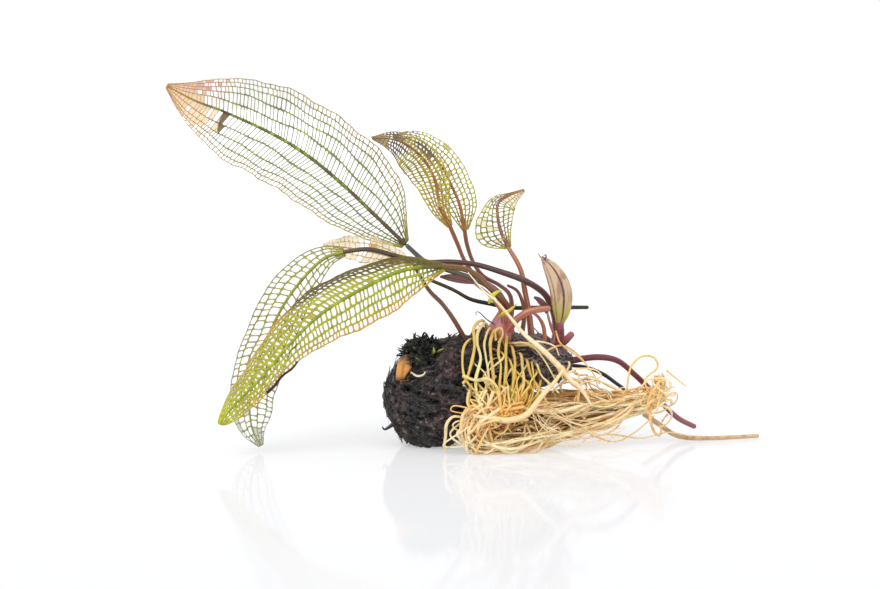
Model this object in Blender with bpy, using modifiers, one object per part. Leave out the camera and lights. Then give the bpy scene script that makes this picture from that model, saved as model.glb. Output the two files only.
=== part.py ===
"""A bare-root Madagascar lace plant lying on its tuber, as lifted from the water.

Numbers below are millimetres and become metres in the meshes. +Z is up, +X runs
from the tuber towards the root tips, and the side the plant is seen from is -Y.
The origin is the middle of the flat that the tuber rests on.
"""

import math

import bmesh
import bpy
import numpy as np

MM = 0.001

# Clearance between pieces that touch, and the wall of a leaf.
GAP = 0.35
TUBER_GAP = 0.55
BLADE_THICKNESS = 0.55
MIDRIB_THICKNESS = 1.3

# How far from the midrib, as a share of the half width, a blade is thick.
MIDRIB_REACH = 0.1

# The share of a half blade's bend that it has where it meets the midrib.
BEND_AT_MIDRIB = 0.4

# How far the ripple of one half of a blade runs ahead of the other half's, in radians.
RIPPLE_LEAD = 1.7

# Half the width of a vein as a share of the distance between veins.
CROSS_VEIN_SHARE = 0.035
LONG_VEIN_SHARE = 0.13
END_CROWDING = 0.75

# Radii of stalks and roots.
STALK_RADIUS = 1.2
THIN_STALK_RADIUS = 0.9
ROOT_RADIUS = 0.75

# Steps that a smooth curve is measured with: between two points, and along a midrib.
CURVE_STEPS = 24
MIDRIB_STEPS = 121

# The tuber: x, height of its middle, half height.
TUBER_STATIONS = (
    (-16.6, 19.5, 3.0),
    (-14.8, 19.4, 8.2),
    (-10.6, 18.8, 14.4),
    (-4.0, 18.2, 19.2),
    (4.0, 19.3, 20.8),
    (11.0, 21.2, 20.8),
    (17.0, 24.6, 19.2),
    (22.0, 28.6, 16.4),
    (30.0, 31.8, 13.0),
    (40.0, 33.0, 10.6),
    (48.0, 33.2, 9.0),
    (55.0, 33.4, 6.6),
    (59.0, 33.4, 2.6),
)
TUBER_DEPTH = 0.9
TUBER_SIDES = 16
TUBER_LUMP = 0.8
FULL_LUMP_HALF_HEIGHT = 12.0

# The block of ground that levels the tuber's underside: length, depth, height.
GROUND = (200.0, 100.0, 40.0)

# The moss tuft: its middle, its half sizes, and its lumps as a share of them.
MOSS_MIDDLE = (-0.6, -3.0, 37.6)
MOSS_HALF = (9.2, 10.0, 7.2)
MOSS_LUMP = 0.16

# The two growing points, each a path with its radii, and the lobes of their sheaths.
LEFT_SHOOT_PATH = ((29.0, -1.5, 40.0), (29.5, -1.5, 47.0), (31.0, -1.0, 52.0), (32.5, 0.0, 56.0))
LEFT_SHOOT_RADII = (6.2, 6.2, 5.2, 3.4)
RIGHT_SHOOT_PATH = ((51.6, 0.0, 36.0), (52.4, 0.0, 41.0), (53.4, -0.3, 45.0), (53.8, -0.8, 48.0))
RIGHT_SHOOT_RADII = (5.4, 4.8, 3.3, 2.2)
SHOOT_SIDES = 14
SHOOT_LOBES = 4
SHOOT_LOBE_DEPTH = 0.09
SHOOT_LOBE_TWIST = 0.2
SHOOT_DEPTH = 0.9

# The tangled root mat: x, y and z of its middle, half depth, half height.
MAT_STATIONS = (
    (13.0, -13.0, 9.2, 3.0, 3.6),
    (18.0, -12.5, 9.4, 7.0, 6.4),
    (26.0, -10.0, 9.9, 10.0, 7.0),
    (36.0, -8.5, 10.2, 11.0, 7.2),
    (47.0, -6.5, 11.2, 10.0, 7.0),
    (58.0, -5.0, 12.4, 8.6, 6.8),
    (70.0, -4.0, 14.6, 7.2, 5.8),
    (82.0, -3.0, 16.0, 6.0, 4.6),
    (90.0, -3.0, 18.0, 5.4, 5.6),
    (96.0, -3.0, 19.6, 4.6, 5.4),
    (100.0, -3.0, 20.4, 1.6, 2.0),
)
MAT_SIDES = 12
MAT_RIDGE = 0.07


# Materials.

def material(name, colour, roughness=0.6):
    """A plain surface of one colour."""
    made = bpy.data.materials.new(name)
    made.use_nodes = True
    shader = made.node_tree.nodes["Principled BSDF"]
    shader.inputs["Base Color"].default_value = (*colour, 1.0)
    shader.inputs["Roughness"].default_value = roughness
    shader.inputs["Metallic"].default_value = 0.0
    return made


COLOURS = {
    "tuber bark": ((0.03, 0.018, 0.014), 0.9),
    "moss": ((0.012, 0.013, 0.008), 0.95),
    "shoot": ((0.36, 0.09, 0.12), 0.5),
    "green lace": ((0.34, 0.42, 0.06), 0.5),
    "bright lace": ((0.45, 0.48, 0.04), 0.5),
    "grey lace": ((0.36, 0.38, 0.14), 0.5),
    "golden lace": ((0.42, 0.33, 0.08), 0.5),
    "faded leaf": ((0.80, 0.62, 0.34), 0.5),
    "young leaf": ((0.42, 0.34, 0.16), 0.45),
    "brown stalk": ((0.30, 0.13, 0.06), 0.45),
    "purple stalk": ((0.13, 0.05, 0.05), 0.4),
    "magenta stalk": ((0.26, 0.03, 0.06), 0.4),
    "pink stalk": ((0.55, 0.20, 0.14), 0.4),
    "dark stalk": ((0.07, 0.06, 0.02), 0.5),
    "grey stalk": ((0.12, 0.13, 0.09), 0.5),
    "tan root": ((0.72, 0.50, 0.24), 0.6),
    "golden root": ((0.78, 0.58, 0.14), 0.55),
}


# Objects and their collections.

def new_collection(name):
    """A collection linked to the scene."""
    made = bpy.data.collections.new(name)
    bpy.context.scene.collection.children.link(made)
    return made


def face_outwards(mesh, weld=0.0):
    """Turn a closed mesh's faces outwards, after closing gaps narrower than weld."""
    solid = bmesh.new()
    solid.from_mesh(mesh)
    bmesh.ops.remove_doubles(solid, verts=solid.verts, dist=weld)
    bmesh.ops.recalc_face_normals(solid, faces=solid.faces)
    solid.to_mesh(mesh)
    solid.free()


def add_mesh(name, vertices, faces, finish, collection):
    """A closed mesh object from points in millimetres."""
    mesh = bpy.data.meshes.new(name)
    mesh.from_pydata((np.asarray(vertices) * MM).tolist(), [], faces)
    mesh.validate()
    face_outwards(mesh)
    mesh.shade_smooth()
    made = bpy.data.objects.new(name, mesh)
    if finish is not None:
        mesh.materials.append(finish)
    collection.objects.link(made)
    return made


def move_to(made, collection):
    """Put an object in one collection only."""
    for holder in list(made.users_collection):
        holder.objects.unlink(made)
    collection.objects.link(made)


def as_cutter(made):
    """Show an object only as a guide that other pieces are cut with."""
    made.hide_render = True
    made.display_type = "WIRE"
    return made


def cut(made, cutter):
    """Take the cutter's space out of a piece."""
    boolean = made.modifiers.new("clear of " + cutter.name, "BOOLEAN")
    boolean.operation = "DIFFERENCE"
    boolean.solver = "EXACT"
    boolean.object = cutter


# Paths and lofts.

def smooth_path(points, count):
    """Even steps along a Catmull-Rom curve through the points."""
    given = np.asarray(points, float)
    ends = (2 * given[0] - given[1], 2 * given[-1] - given[-2])
    padded = np.vstack([ends[0], given, ends[1]])
    dense = []
    for first in range(len(given) - 1):
        p0, p1, p2, p3 = padded[first:first + 4]
        u = np.linspace(0.0, 1.0, CURVE_STEPS, endpoint=False)[:, None]
        dense.append(0.5 * (2 * p1 + (p2 - p0) * u + (2 * p0 - 5 * p1 + 4 * p2 - p3) * u ** 2
                            + (3 * p1 - p0 - 3 * p2 + p3) * u ** 3))
    dense = np.vstack(dense + [given[-1:]])
    steps = np.linalg.norm(np.diff(dense, axis=0), axis=1)
    travelled = np.concatenate([[0.0], np.cumsum(steps)])
    wanted = np.linspace(0.0, travelled[-1], count)
    return np.stack([np.interp(wanted, travelled, dense[:, axis]) for axis in range(3)], axis=1)


def loft(name, rings, finish, collection):
    """A closed skin over rings of equal size, with its ends filled."""
    rings = np.asarray(rings, float)
    stations, sides = rings.shape[:2]
    vertices = rings.reshape(-1, 3)
    faces = []
    for station in range(stations - 1):
        for side in range(sides):
            a = station * sides + side
            b = station * sides + (side + 1) % sides
            faces.append((a, b, b + sides, a + sides))
    faces.append(tuple(range(sides - 1, -1, -1)))
    faces.append(tuple(range((stations - 1) * sides, stations * sides)))
    return add_mesh(name, vertices, faces, finish, collection)


def tube(name, points, radii, finish, collection, count=10, sides=6):
    """A round stem along a smooth path. The radii are spread evenly from end to end."""
    path = smooth_path(points, count)
    radii = np.atleast_1d(np.asarray(radii, float))
    along = np.linspace(0.0, 1.0, count)
    thick = np.interp(along, np.linspace(0.0, 1.0, len(radii)), radii)
    curve = bpy.data.curves.new(name, "CURVE")
    curve.dimensions = "3D"
    curve.fill_mode = "FULL"
    curve.bevel_depth = MM
    curve.bevel_resolution = (sides - 4) // 2
    curve.use_fill_caps = True
    spline = curve.splines.new("POLY")
    spline.points.add(count - 1)
    for point, place, radius in zip(spline.points, path * MM, thick):
        point.co = (*place, 1.0)
        point.radius = radius
    curve.materials.append(finish)
    made = bpy.data.objects.new(name, curve)
    collection.objects.link(made)
    return made


def to_mesh(made):
    """Turn a curve into a closed mesh, so that it can be cut."""
    name = made.name
    collection = made.users_collection[0]
    evaluated = made.evaluated_get(bpy.context.evaluated_depsgraph_get())
    mesh = bpy.data.meshes.new_from_object(evaluated)
    face_outwards(mesh, weld=0.01 * MM)
    solid = bpy.data.objects.new(name + " solid", mesh)
    solid.matrix_world = made.matrix_world
    collection.objects.link(solid)
    bpy.data.objects.remove(made)
    solid.name = name
    return solid


# The tuber and what sits on it.

def tuber_rings(extra):
    """Rings of the club-shaped tuber, grown outwards by extra."""
    stations = np.array(TUBER_STATIONS)
    turn = np.linspace(0.0, 2 * math.pi, TUBER_SIDES, endpoint=False)
    rings = []
    last = len(stations) - 1
    for index, (x, middle, half) in enumerate(stations):
        end = -extra if index == 0 else extra if index == last else 0.0
        lump = TUBER_LUMP * np.sin(3 * turn + 0.31 * x) * np.sin(0.42 * x + 2 * np.sin(turn))
        reach = half + extra + lump * min(1.0, half / FULL_LUMP_HALF_HEIGHT)
        ring = np.stack([np.full_like(turn, x + end),
                         TUBER_DEPTH * reach * np.cos(turn),
                         middle + reach * np.sin(turn)], axis=1)
        rings.append(ring)
    return rings


def build_tuber(finish, plant, cutters):
    """The tuber with a level flat where it rests, and the space round it."""
    tuber = loft("tuber", tuber_rings(0.0), finish, plant)
    bpy.ops.mesh.primitive_cube_add(size=1.0, location=(0.0, 0.0, -0.5 * GROUND[2] * MM))
    ground = bpy.context.object
    ground.name = "ground"
    ground.scale = np.array(GROUND) * MM
    move_to(ground, cutters)
    cut(tuber, as_cutter(ground))
    return as_cutter(loft("tuber clearance", tuber_rings(TUBER_GAP), None, cutters))


def build_moss(finish, plant, tuber_space):
    """The dark tuft of moss and dead fibre that caps the tuber."""
    bpy.ops.mesh.primitive_uv_sphere_add(segments=12, ring_count=8, radius=MM)
    moss = bpy.context.object
    moss.name = "moss_tuft"
    moss.data.name = "moss_tuft"
    for vertex in moss.data.vertices:
        x, y, z = np.array(vertex.co) / MM
        lump = 1.0 + MOSS_LUMP * math.sin(5 * x + 3 * z) * math.cos(4 * y + 2 * x)
        vertex.co = [MM * (middle + half * lump * value)
                     for middle, half, value in zip(MOSS_MIDDLE, MOSS_HALF, (x, y, z))]
    moss.data.materials.append(finish)
    moss.data.shade_smooth()
    move_to(moss, plant)
    cut(moss, tuber_space)


def shoot_rings(path, radii, extra=0.0):
    """Level rings round a rising path, with shallow lengthwise lobes."""
    turn = np.linspace(0.0, 2 * math.pi, SHOOT_SIDES, endpoint=False)
    rings = []
    for (x, y, z), radius in zip(path, radii):
        lobes = np.cos(SHOOT_LOBES * turn + SHOOT_LOBE_TWIST * z)
        reach = (radius + extra) * (1.0 + SHOOT_LOBE_DEPTH * lobes)
        rings.append(np.stack([x + reach * np.cos(turn), y + SHOOT_DEPTH * reach * np.sin(turn),
                               np.full_like(turn, z)], axis=1))
    rings[-1][:, 2] += extra
    return rings


def build_shoots(finish, plant, cutters, tuber_space):
    """Two growing points on the tuber's neck, wrapped in leaf sheaths."""
    spaces = []
    for name, path, radii in (("left_shoot", LEFT_SHOOT_PATH, LEFT_SHOOT_RADII),
                              ("right_shoot", RIGHT_SHOOT_PATH, RIGHT_SHOOT_RADII)):
        cut(loft(name, shoot_rings(path, radii), finish, plant), tuber_space)
        rings = shoot_rings(path, radii, GAP)
        spaces.append(as_cutter(loft(name + " clearance", rings, None, cutters)))
    return spaces


# Lace leaves.

class Leaf:
    """One lace leaf: a midrib, the side its face is turned to, and its half widths."""

    def __init__(self, name, finish, rib, face, near, far, bend, windows, wave=(0.0, 0.0)):
        self.name = name
        self.finish = finish
        self.rib = rib
        self.face = face
        self.near = near
        self.far = far
        self.bend = bend
        self.windows = windows
        self.wave = wave


def bar_lines(windows, share, crowded=0.0):
    """Pairs of grid lines, 0 to 1, that leave the given number of open windows.

    A crowded value above 0 draws the lines together towards both ends.
    """
    pitch = 1.0 / windows
    lines = []
    for bar in range(windows + 1):
        lines += [bar * pitch - share * pitch, bar * pitch + share * pitch]
    lines[0] = 0.0
    lines[-1] = 1.0
    lines = np.array(lines)
    return (1.0 - crowded) * lines + crowded * 0.5 * (1.0 - np.cos(math.pi * lines))


def leaf_surface(leaf, along, across):
    """Points of the blade. The first number runs base to tip, the second side to side."""
    rib = smooth_path(leaf.rib, MIDRIB_STEPS)
    grid = np.linspace(0.0, 1.0, MIDRIB_STEPS)
    tangent = np.gradient(rib, axis=0)
    tangent /= np.linalg.norm(tangent, axis=1)[:, None]
    face = np.outer(1 - grid, leaf.face[0]) + np.outer(grid, leaf.face[1])
    face -= (face * tangent).sum(1)[:, None] * tangent
    face /= np.linalg.norm(face, axis=1)[:, None]
    side = np.cross(tangent, face)

    def read(table):
        return np.stack([np.interp(along, grid, table[:, axis]) for axis in range(3)], axis=-1)

    stations = np.linspace(0.0, 1.0, len(leaf.near))
    near = np.interp(along, stations, leaf.near)
    far = np.interp(along, stations, leaf.far)
    width = np.where(across < 0, near, far)
    reach = np.abs(across) * width
    bend = np.radians(np.where(across < 0, leaf.bend[0], leaf.bend[1]))
    tilt = bend * (BEND_AT_MIDRIB + (1.0 - BEND_AT_MIDRIB) * np.abs(across))
    height, waves = leaf.wave
    ripple = height * np.sin(2 * math.pi * waves * along + RIPPLE_LEAD * np.sign(across)) * across ** 2
    sideways = np.sign(across) * reach * np.cos(tilt)
    raised = reach * np.sin(tilt) + ripple
    return read(rib) + read(side) * sideways[..., None] + read(face) * raised[..., None]


def build_leaf(leaf, plant):
    """An open lattice sheet, thick at the midrib and thin at the margin."""
    rows, columns = leaf.windows
    along = bar_lines(columns, CROSS_VEIN_SHARE, END_CROWDING)
    half = bar_lines(rows, LONG_VEIN_SHARE)
    across = np.concatenate([-half[:0:-1], half[1:]])
    lattice = bmesh.new()
    bmesh.ops.create_grid(lattice, x_segments=len(along) - 1, y_segments=len(across) - 1, size=0.5)
    lattice.verts.ensure_lookup_table()
    steps = np.array([vertex.co[:2] for vertex in lattice.verts]) + 0.5
    column = np.rint(steps[:, 0] * (len(along) - 1)).astype(int)
    row = np.rint(steps[:, 1] * (len(across) - 1)).astype(int)
    places = leaf_surface(leaf, along[column], across[row]) * MM
    open_faces = []
    for face in lattice.faces:
        first_column = min(column[vertex.index] for vertex in face.verts)
        first_row = min(row[vertex.index] for vertex in face.verts)
        if first_column % 2 == 1 and first_row % 2 == 1:
            open_faces.append(face)
    for vertex, place in zip(lattice.verts, places):
        vertex.co = place
    thick = np.abs(across[row]) < MIDRIB_REACH
    bmesh.ops.delete(lattice, geom=open_faces, context="FACES_ONLY")
    mesh = bpy.data.meshes.new(leaf.name)
    lattice.to_mesh(mesh)
    lattice.free()
    mesh.materials.append(leaf.finish)
    made = bpy.data.objects.new(leaf.name, mesh)
    plant.objects.link(made)
    group = made.vertex_groups.new(name="midrib")
    group.add(np.flatnonzero(thick).tolist(), 1.0, "REPLACE")
    wall = made.modifiers.new("thickness", "SOLIDIFY")
    wall.thickness = MIDRIB_THICKNESS * MM
    wall.offset = 0.0
    wall.vertex_group = "midrib"
    wall.thickness_vertex_group = BLADE_THICKNESS / MIDRIB_THICKNESS
    return made


def lace_leaves(finish):
    """Every open lace leaf of the plant."""
    return (
        Leaf("upper_leaf_blade", finish["green lace"],
             ((-8, 8, 80), (-21, 13, 92), (-32, 18, 102), (-47, 24, 114), (-62, 29, 123),
              (-82, 33, 132), (-95, 33, 137), (-106, 31, 143)),
             ((0.0, -1.0, 0.1), (0.0, -1.0, 0.1)),
             (2.0, 10.5, 15.5, 17.5, 18.5, 18.6, 17.5, 11.0, 1.0),
             (2.0, 15.0, 20.0, 20.5, 20.2, 19.5, 16.0, 10.0, 1.0),
             (8.0, 8.0), (4, 7), (0.6, 2.5)),
        Leaf("front_leaf_blade", finish["bright lace"],
             ((8, -9, 73), (-8, -14, 72), (-23, -20, 66), (-39, -26, 57), (-52, -30, 45),
              (-64, -32, 31), (-73, -31, 22), (-80, -29, 13.5)),
             ((0.0, -0.9, 0.4), (-0.3, -0.9, 0.3)),
             (1.5, 10.0, 13.5, 14.0, 12.5, 10.0, 9.0, 7.5, 1.0),
             (1.5, 10.5, 15.5, 17.5, 17.0, 15.5, 13.5, 10.5, 1.0),
             (-15.0, -42.0), (3, 7), (0.5, 2.0)),
        Leaf("back_leaf_blade", finish["grey lace"],
             ((-32, -3, 78), (-42, -4, 74), (-52, -5, 66), (-60, -6, 55), (-66, -8, 41),
              (-69, -10, 30), (-70.5, -12, 19), (-68.5, -14, 9), (-65, -15, 2)),
             ((0.1, -1.0, 0.3), (0.0, -1.0, 0.1)),
             (1.5, 7.0, 10.0, 11.0, 11.0, 10.5, 9.5, 8.0, 1.0),
             (1.5, 6.5, 9.0, 9.5, 9.0, 9.0, 8.5, 6.5, 1.0),
             (-10.0, -12.0), (3, 6), (0.3, 2.0)),
        Leaf("arching_leaf_blade", finish["golden lace"],
             ((10, 12, 87), (6, 14, 95), (4, 16, 105), (0, 17, 113), (-5, 14, 118),
              (-12, 8, 122), (-21, 2, 123)),
             ((0.2, -1.0, 0.0), (0.0, -1.0, 0.6)),
             (1.0, 4.5, 8.0, 9.5, 9.0, 6.0, 0.8),
             (1.0, 4.0, 6.0, 6.0, 5.0, 3.5, 0.8),
             (-10.0, -10.0), (2, 5), (0.3, 1.5)),
        Leaf("tall_leaf_blade", finish["golden lace"],
             ((16, 16, 85), (14, 19, 95), (11, 22, 102), (7, 24, 110), (2, 24, 116),
              (-5, 21, 121), (-13, 17, 123)),
             ((-0.2, -1.0, 0.0), (0.0, -1.0, 0.5)),
             (1.0, 5.0, 7.0, 7.5, 6.5, 4.0, 0.8),
             (1.6, 6.5, 8.0, 8.0, 7.0, 4.6, 0.8),
             (-8.0, -14.0), (2, 5), (0.3, 1.5)),
        Leaf("small_leaf_blade", finish["golden lace"],
             ((33.4, 5, 79), (30, 5, 85), (29, 6, 91), (31.4, 8, 96), (35.6, 11, 98.5), (40, 13, 101)),
             ((0.0, -1.0, 0.0), (0.0, -1.0, 0.4)),
             (1.5, 11.0, 10.0, 6.0, 2.0, 0.7),
             (1.5, 5.0, 6.6, 7.0, 4.4, 0.7),
             (12.0, 12.0), (2, 3), (0.0, 1.0)),
        Leaf("faded_leaf_blade", finish["faded leaf"],
             ((-5, 2, 73), (-12, 3, 75), (-20, 4, 77), (-32, 5, 79), (-41, 5, 80)),
             ((0.0, -1.0, 0.2), (0.0, -1.0, 0.2)),
             (0.8, 4.0, 5.0, 4.0, 0.7),
             (0.8, 4.5, 6.0, 4.5, 0.7),
             (10.0, 10.0), (1, 3), (0.3, 1.5)),
    )


# Solid young leaves.

def flat_rings(path, widths, thickness, count, sides=8):
    """Flattened rings across a path that lies nearly in the XZ plane."""
    middle = smooth_path(path, count)
    tangent = np.gradient(middle, axis=0)
    tangent /= np.linalg.norm(tangent, axis=1)[:, None]
    across = np.cross(tangent, (0.0, 1.0, 0.0))
    across /= np.linalg.norm(across, axis=1)[:, None]
    deep = np.cross(across, tangent)
    along = np.linspace(0.0, 1.0, count)
    half = np.interp(along, np.linspace(0.0, 1.0, len(widths)), widths)
    thin = np.interp(along, np.linspace(0.0, 1.0, len(thickness)), thickness)
    turn = np.linspace(0.0, 2 * math.pi, sides, endpoint=False)
    return [middle[i] + np.outer(half[i] * np.cos(turn), across[i])
            + np.outer(thin[i] * np.sin(turn), deep[i]) for i in range(count)]


def build_young_leaves(finish, plant):
    """A rolled young leaf, a narrow leaf and a tiny leaf that have not opened."""
    bud = ((54.0, -1, 49.6), (54.2, -2, 55), (53.2, -3, 63), (50.2, -2, 70), (46.6, -1, 75.5))
    loft("young_leaf_blade",
         flat_rings(bud, (1.3, 3.6, 5.0, 5.0, 4.2, 2.6, 0.5), (1.2, 2.2, 2.8, 2.6, 2.0, 1.2, 0.4), 10),
         finish["young leaf"], plant)
    narrow = ((6.0, -6.5, 68.5), (10.0, -7.0, 68.2), (15.0, -7.0, 67.2), (19.5, -7.0, 66.0))
    loft("narrow_leaf_blade", flat_rings(narrow, (0.4, 1.3, 1.6, 1.2, 0.5), (0.3, 0.5, 0.5, 0.3), 7, 6),
         finish["purple stalk"], plant)
    tiny = ((43.6, 1.5, 59.4), (45.5, 1.2, 58.4), (47.4, 1.0, 56.4), (49.0, 0.6, 53.0))
    loft("tiny_leaf_blade", flat_rings(tiny, (0.4, 1.2, 1.3, 0.6), (0.3, 0.5, 0.5, 0.3), 6, 6),
         finish["purple stalk"], plant)


# Stalks.

def stalk_table(finish):
    """Name, finish, points, radii and step count of each stalk."""
    thick = STALK_RADIUS
    thin = THIN_STALK_RADIUS
    return (
        ("upper_leaf_stalk", finish["grey stalk"],
         ((32, 1.0, 54), (28.5, 3.5, 60.5), (24, 6, 64), (17, 7, 67), (8, 7, 70), (0, 8, 73),
          (-7.4, 7.8, 79.5)), (thick, thick, 1.0), 11),
        ("front_leaf_stalk", finish["brown stalk"],
         ((33.5, -1.5, 53), (32, -4.5, 57.5), (29, -7.5, 61), (25, -9, 65), (21, -9, 69),
          (15, -9, 72), (8.6, -8.9, 73)), (thick, thick, 1.0), 11),
        ("back_leaf_stalk", finish["purple stalk"],
         ((53, 3.0, 43), (52.6, 5, 50), (50.6, 5, 56), (47.4, 4, 61), (40, 1, 66), (30, -2, 70),
          (20, -3, 73), (10, -3, 74), (0, -3, 74), (-10, -3, 76), (-22, -3, 79), (-31.4, -3, 78.2)),
         (1.4, 1.3, 1.1, 1.0), 15),
        ("arching_leaf_stalk", finish["brown stalk"],
         ((33, 2.5, 54), (30, 6, 60.5), (26, 9.5, 63.5), (21, 10.5, 66), (16, 11, 73),
          (13, 12, 80), (10.2, 12, 86.4)), (thin, thin, thin), 10),
        ("tall_leaf_stalk", finish["brown stalk"],
         ((34.6, 2.0, 53), (34.2, 7, 59.5), (30, 12, 63), (23.5, 14, 66.5), (19.5, 15, 72),
          (17, 16, 79), (16, 16, 84.4)), (thin, thin, thin), 10),
        ("small_leaf_stalk", finish["pink stalk"],
         ((43, 4, 40), (42.2, 5, 49), (41.2, 5, 56), (40, 5, 62), (39, 5, 68), (37, 5, 73),
          (33.7, 5, 78.3)), (1.5, thick, 1.0), 9),
        ("young_leaf_stalk", finish["magenta stalk"],
         ((54.0, -0.6, 45.0), (54.0, -0.9, 47.5), (54.0, -1.0, 49.2)), (1.6, 1.2), 4),
        ("faded_leaf_stalk", finish["brown stalk"],
         ((17, -1, 41), (12, -2, 50), (7, -2, 57), (2, -1, 62), (-2, 0.5, 68), (-4.3, 1.7, 72.2)),
         (thick, 1.1, thin), 8),
        ("narrow_leaf_stalk", finish["pink stalk"],
         ((31, -5.0, 50), (30, -6.5, 55), (27, -6.6, 59.5), (23.5, -6.9, 63), (20.2, -7, 65.7)),
         (0.8, 0.6), 7),
        ("tiny_leaf_stalk", finish["pink stalk"],
         ((52.0, 0.0, 44.0), (50.4, 0.2, 48.0), (49.2, 0.5, 52.3)), (0.7, 0.5), 4),
        ("dark_stalk", finish["dark stalk"],
         ((2, 4, 66), (11, 5, 62), (18, 6.5, 58), (25, 8.5, 56), (35, 10, 54), (48, 10.5, 54),
          (66, 11, 54)), (thin, 1.0, thin), 11),
        ("magenta_cut_stalk", finish["magenta stalk"],
         ((52, 0, 32), (60, 0.5, 34), (70, 1.5, 35), (78, 3.5, 33), (85, 5.5, 27), (91, 8.5, 21),
          (98, 12, 13), (104, 14, 7.5), (110.5, 14, 4.2)), (1.5, 1.3, 1.2), 13),
        ("black_thin_stalk", finish["dark stalk"],
         ((53, 3, 31), (60, 5, 31), (66, 5.5, 30), (72, 5, 27.5), (77, 5, 24), (81, 5.5, 21),
          (85, 6.0, 18)), (0.7, 0.8, 0.7), 9),
        ("pink_cut_stalk", finish["pink stalk"],
         ((33, -4.5, 47), (37, -7, 52), (42, -8, 55), (49.4, -7.4, 56)), (1.5, 1.3, 1.1), 7),
        ("brown_arched_stalk", finish["brown stalk"],
         ((33, 0.8, 64.2), (37, 1, 61.8), (39.4, 1, 56), (39.6, 1, 50), (38.4, 1, 42)),
         (0.6, thin, 1.1), 8),
        ("pink_arched_stalk", finish["pink stalk"],
         ((43, 0.5, 53.4), (45.6, -1.6, 51.4), (47.6, -3, 47), (48, -3, 38)), (0.6, thin, 1.1), 7),
        ("magenta_stub", finish["magenta stalk"],
         ((53.5, -3, 40.5), (56.4, -6.5, 43.5), (58.4, -8.2, 46)), (1.8, 1.4, 1.2), 4),
    )


TRIMMED_BY_LEFT = ("upper_leaf_stalk", "front_leaf_stalk", "arching_leaf_stalk", "tall_leaf_stalk",
                   "narrow_leaf_stalk", "pink_cut_stalk", "brown_arched_stalk")
TRIMMED_BY_RIGHT = ("back_leaf_stalk", "young_leaf_stalk", "tiny_leaf_stalk", "magenta_cut_stalk",
                    "black_thin_stalk", "pink_arched_stalk", "magenta_stub")
TRIMMED_BY_TUBER = ("back_leaf_stalk", "small_leaf_stalk", "faded_leaf_stalk", "magenta_cut_stalk",
                    "black_thin_stalk", "pink_cut_stalk", "brown_arched_stalk", "pink_arched_stalk",
                    "magenta_stub")


def build_stalks(finish, plant, tuber_space, shoot_spaces):
    """Stalks, cut back to the clearance round what they grow from."""
    left_space, right_space = shoot_spaces
    for name, colour, points, radii, count in stalk_table(finish):
        made = tube(name, points, radii, colour, plant, count)
        spaces = [space for names, space in ((TRIMMED_BY_LEFT, left_space),
                                             (TRIMMED_BY_RIGHT, right_space),
                                             (TRIMMED_BY_TUBER, tuber_space)) if name in names]
        if spaces:
            made = to_mesh(made)
        for space in spaces:
            cut(made, space)


# Roots.

def mat_ring(x, offset, turn):
    """Points of the root mat's outline at x, grown by offset, at the given turns."""
    stations = np.array(MAT_STATIONS)
    middle_y, middle_z, deep, high = (np.interp(x, stations[:, 0], stations[:, i]) for i in range(1, 5))
    reach = np.array(1.0) if offset else 1.0 + MAT_RIDGE * np.cos(MAT_SIDES / 2 * turn)
    grow = offset + (MAT_RIDGE * max(deep, high) if offset else 0.0)
    return np.stack([np.full_like(turn, x),
                     middle_y + (deep * reach + grow) * np.cos(turn),
                     middle_z + (high * reach + grow) * np.sin(turn)], axis=-1)


def build_mat(finish, plant, tuber_space):
    """The dense tangle of roots as one ridged solid that runs out to the root tips."""
    turn = np.linspace(0.0, 2 * math.pi, MAT_SIDES, endpoint=False)
    rings = [mat_ring(station[0], 0.0, turn) for station in MAT_STATIONS]
    cut(loft("root_mat", rings, finish, plant), tuber_space)


# Hanging roots: start (x, y, z), sideways swing, end (x, y, z).
HANGING_ROOTS = (
    ((22.0, -12.5, 49.0), -6.0, (16.5, -22.0, 22.0)),
    ((24.0, -12.5, 45.5), -2.0, (21.5, -20.5, 17.5)),
    ((26.5, -13.5, 46.0), 1.6, (25.5, -17.5, 17.5)),
    ((29.0, -11.5, 42.0), -1.6, (29.0, -14.5, 18.5)),
    ((31.5, -14.5, 43.5), 1.4, (32.0, -18.0, 16.5)),
    ((34.0, -11.6, 41.0), 1.8, (36.5, -14.0, 18.5)),
    ((37.0, -13.6, 39.5), -0.6, (39.6, -17.0, 16.5)),
    ((40.0, -11.4, 38.0), 1.4, (44.5, -13.5, 18.5)),
    ((43.5, -11.4, 36.0), 1.0, (48.5, -11.5, 19.2)),
)

MAT_ROOT_TURNS = (180.0, 206.0, 232.0, 258.0, 146.0)


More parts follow.
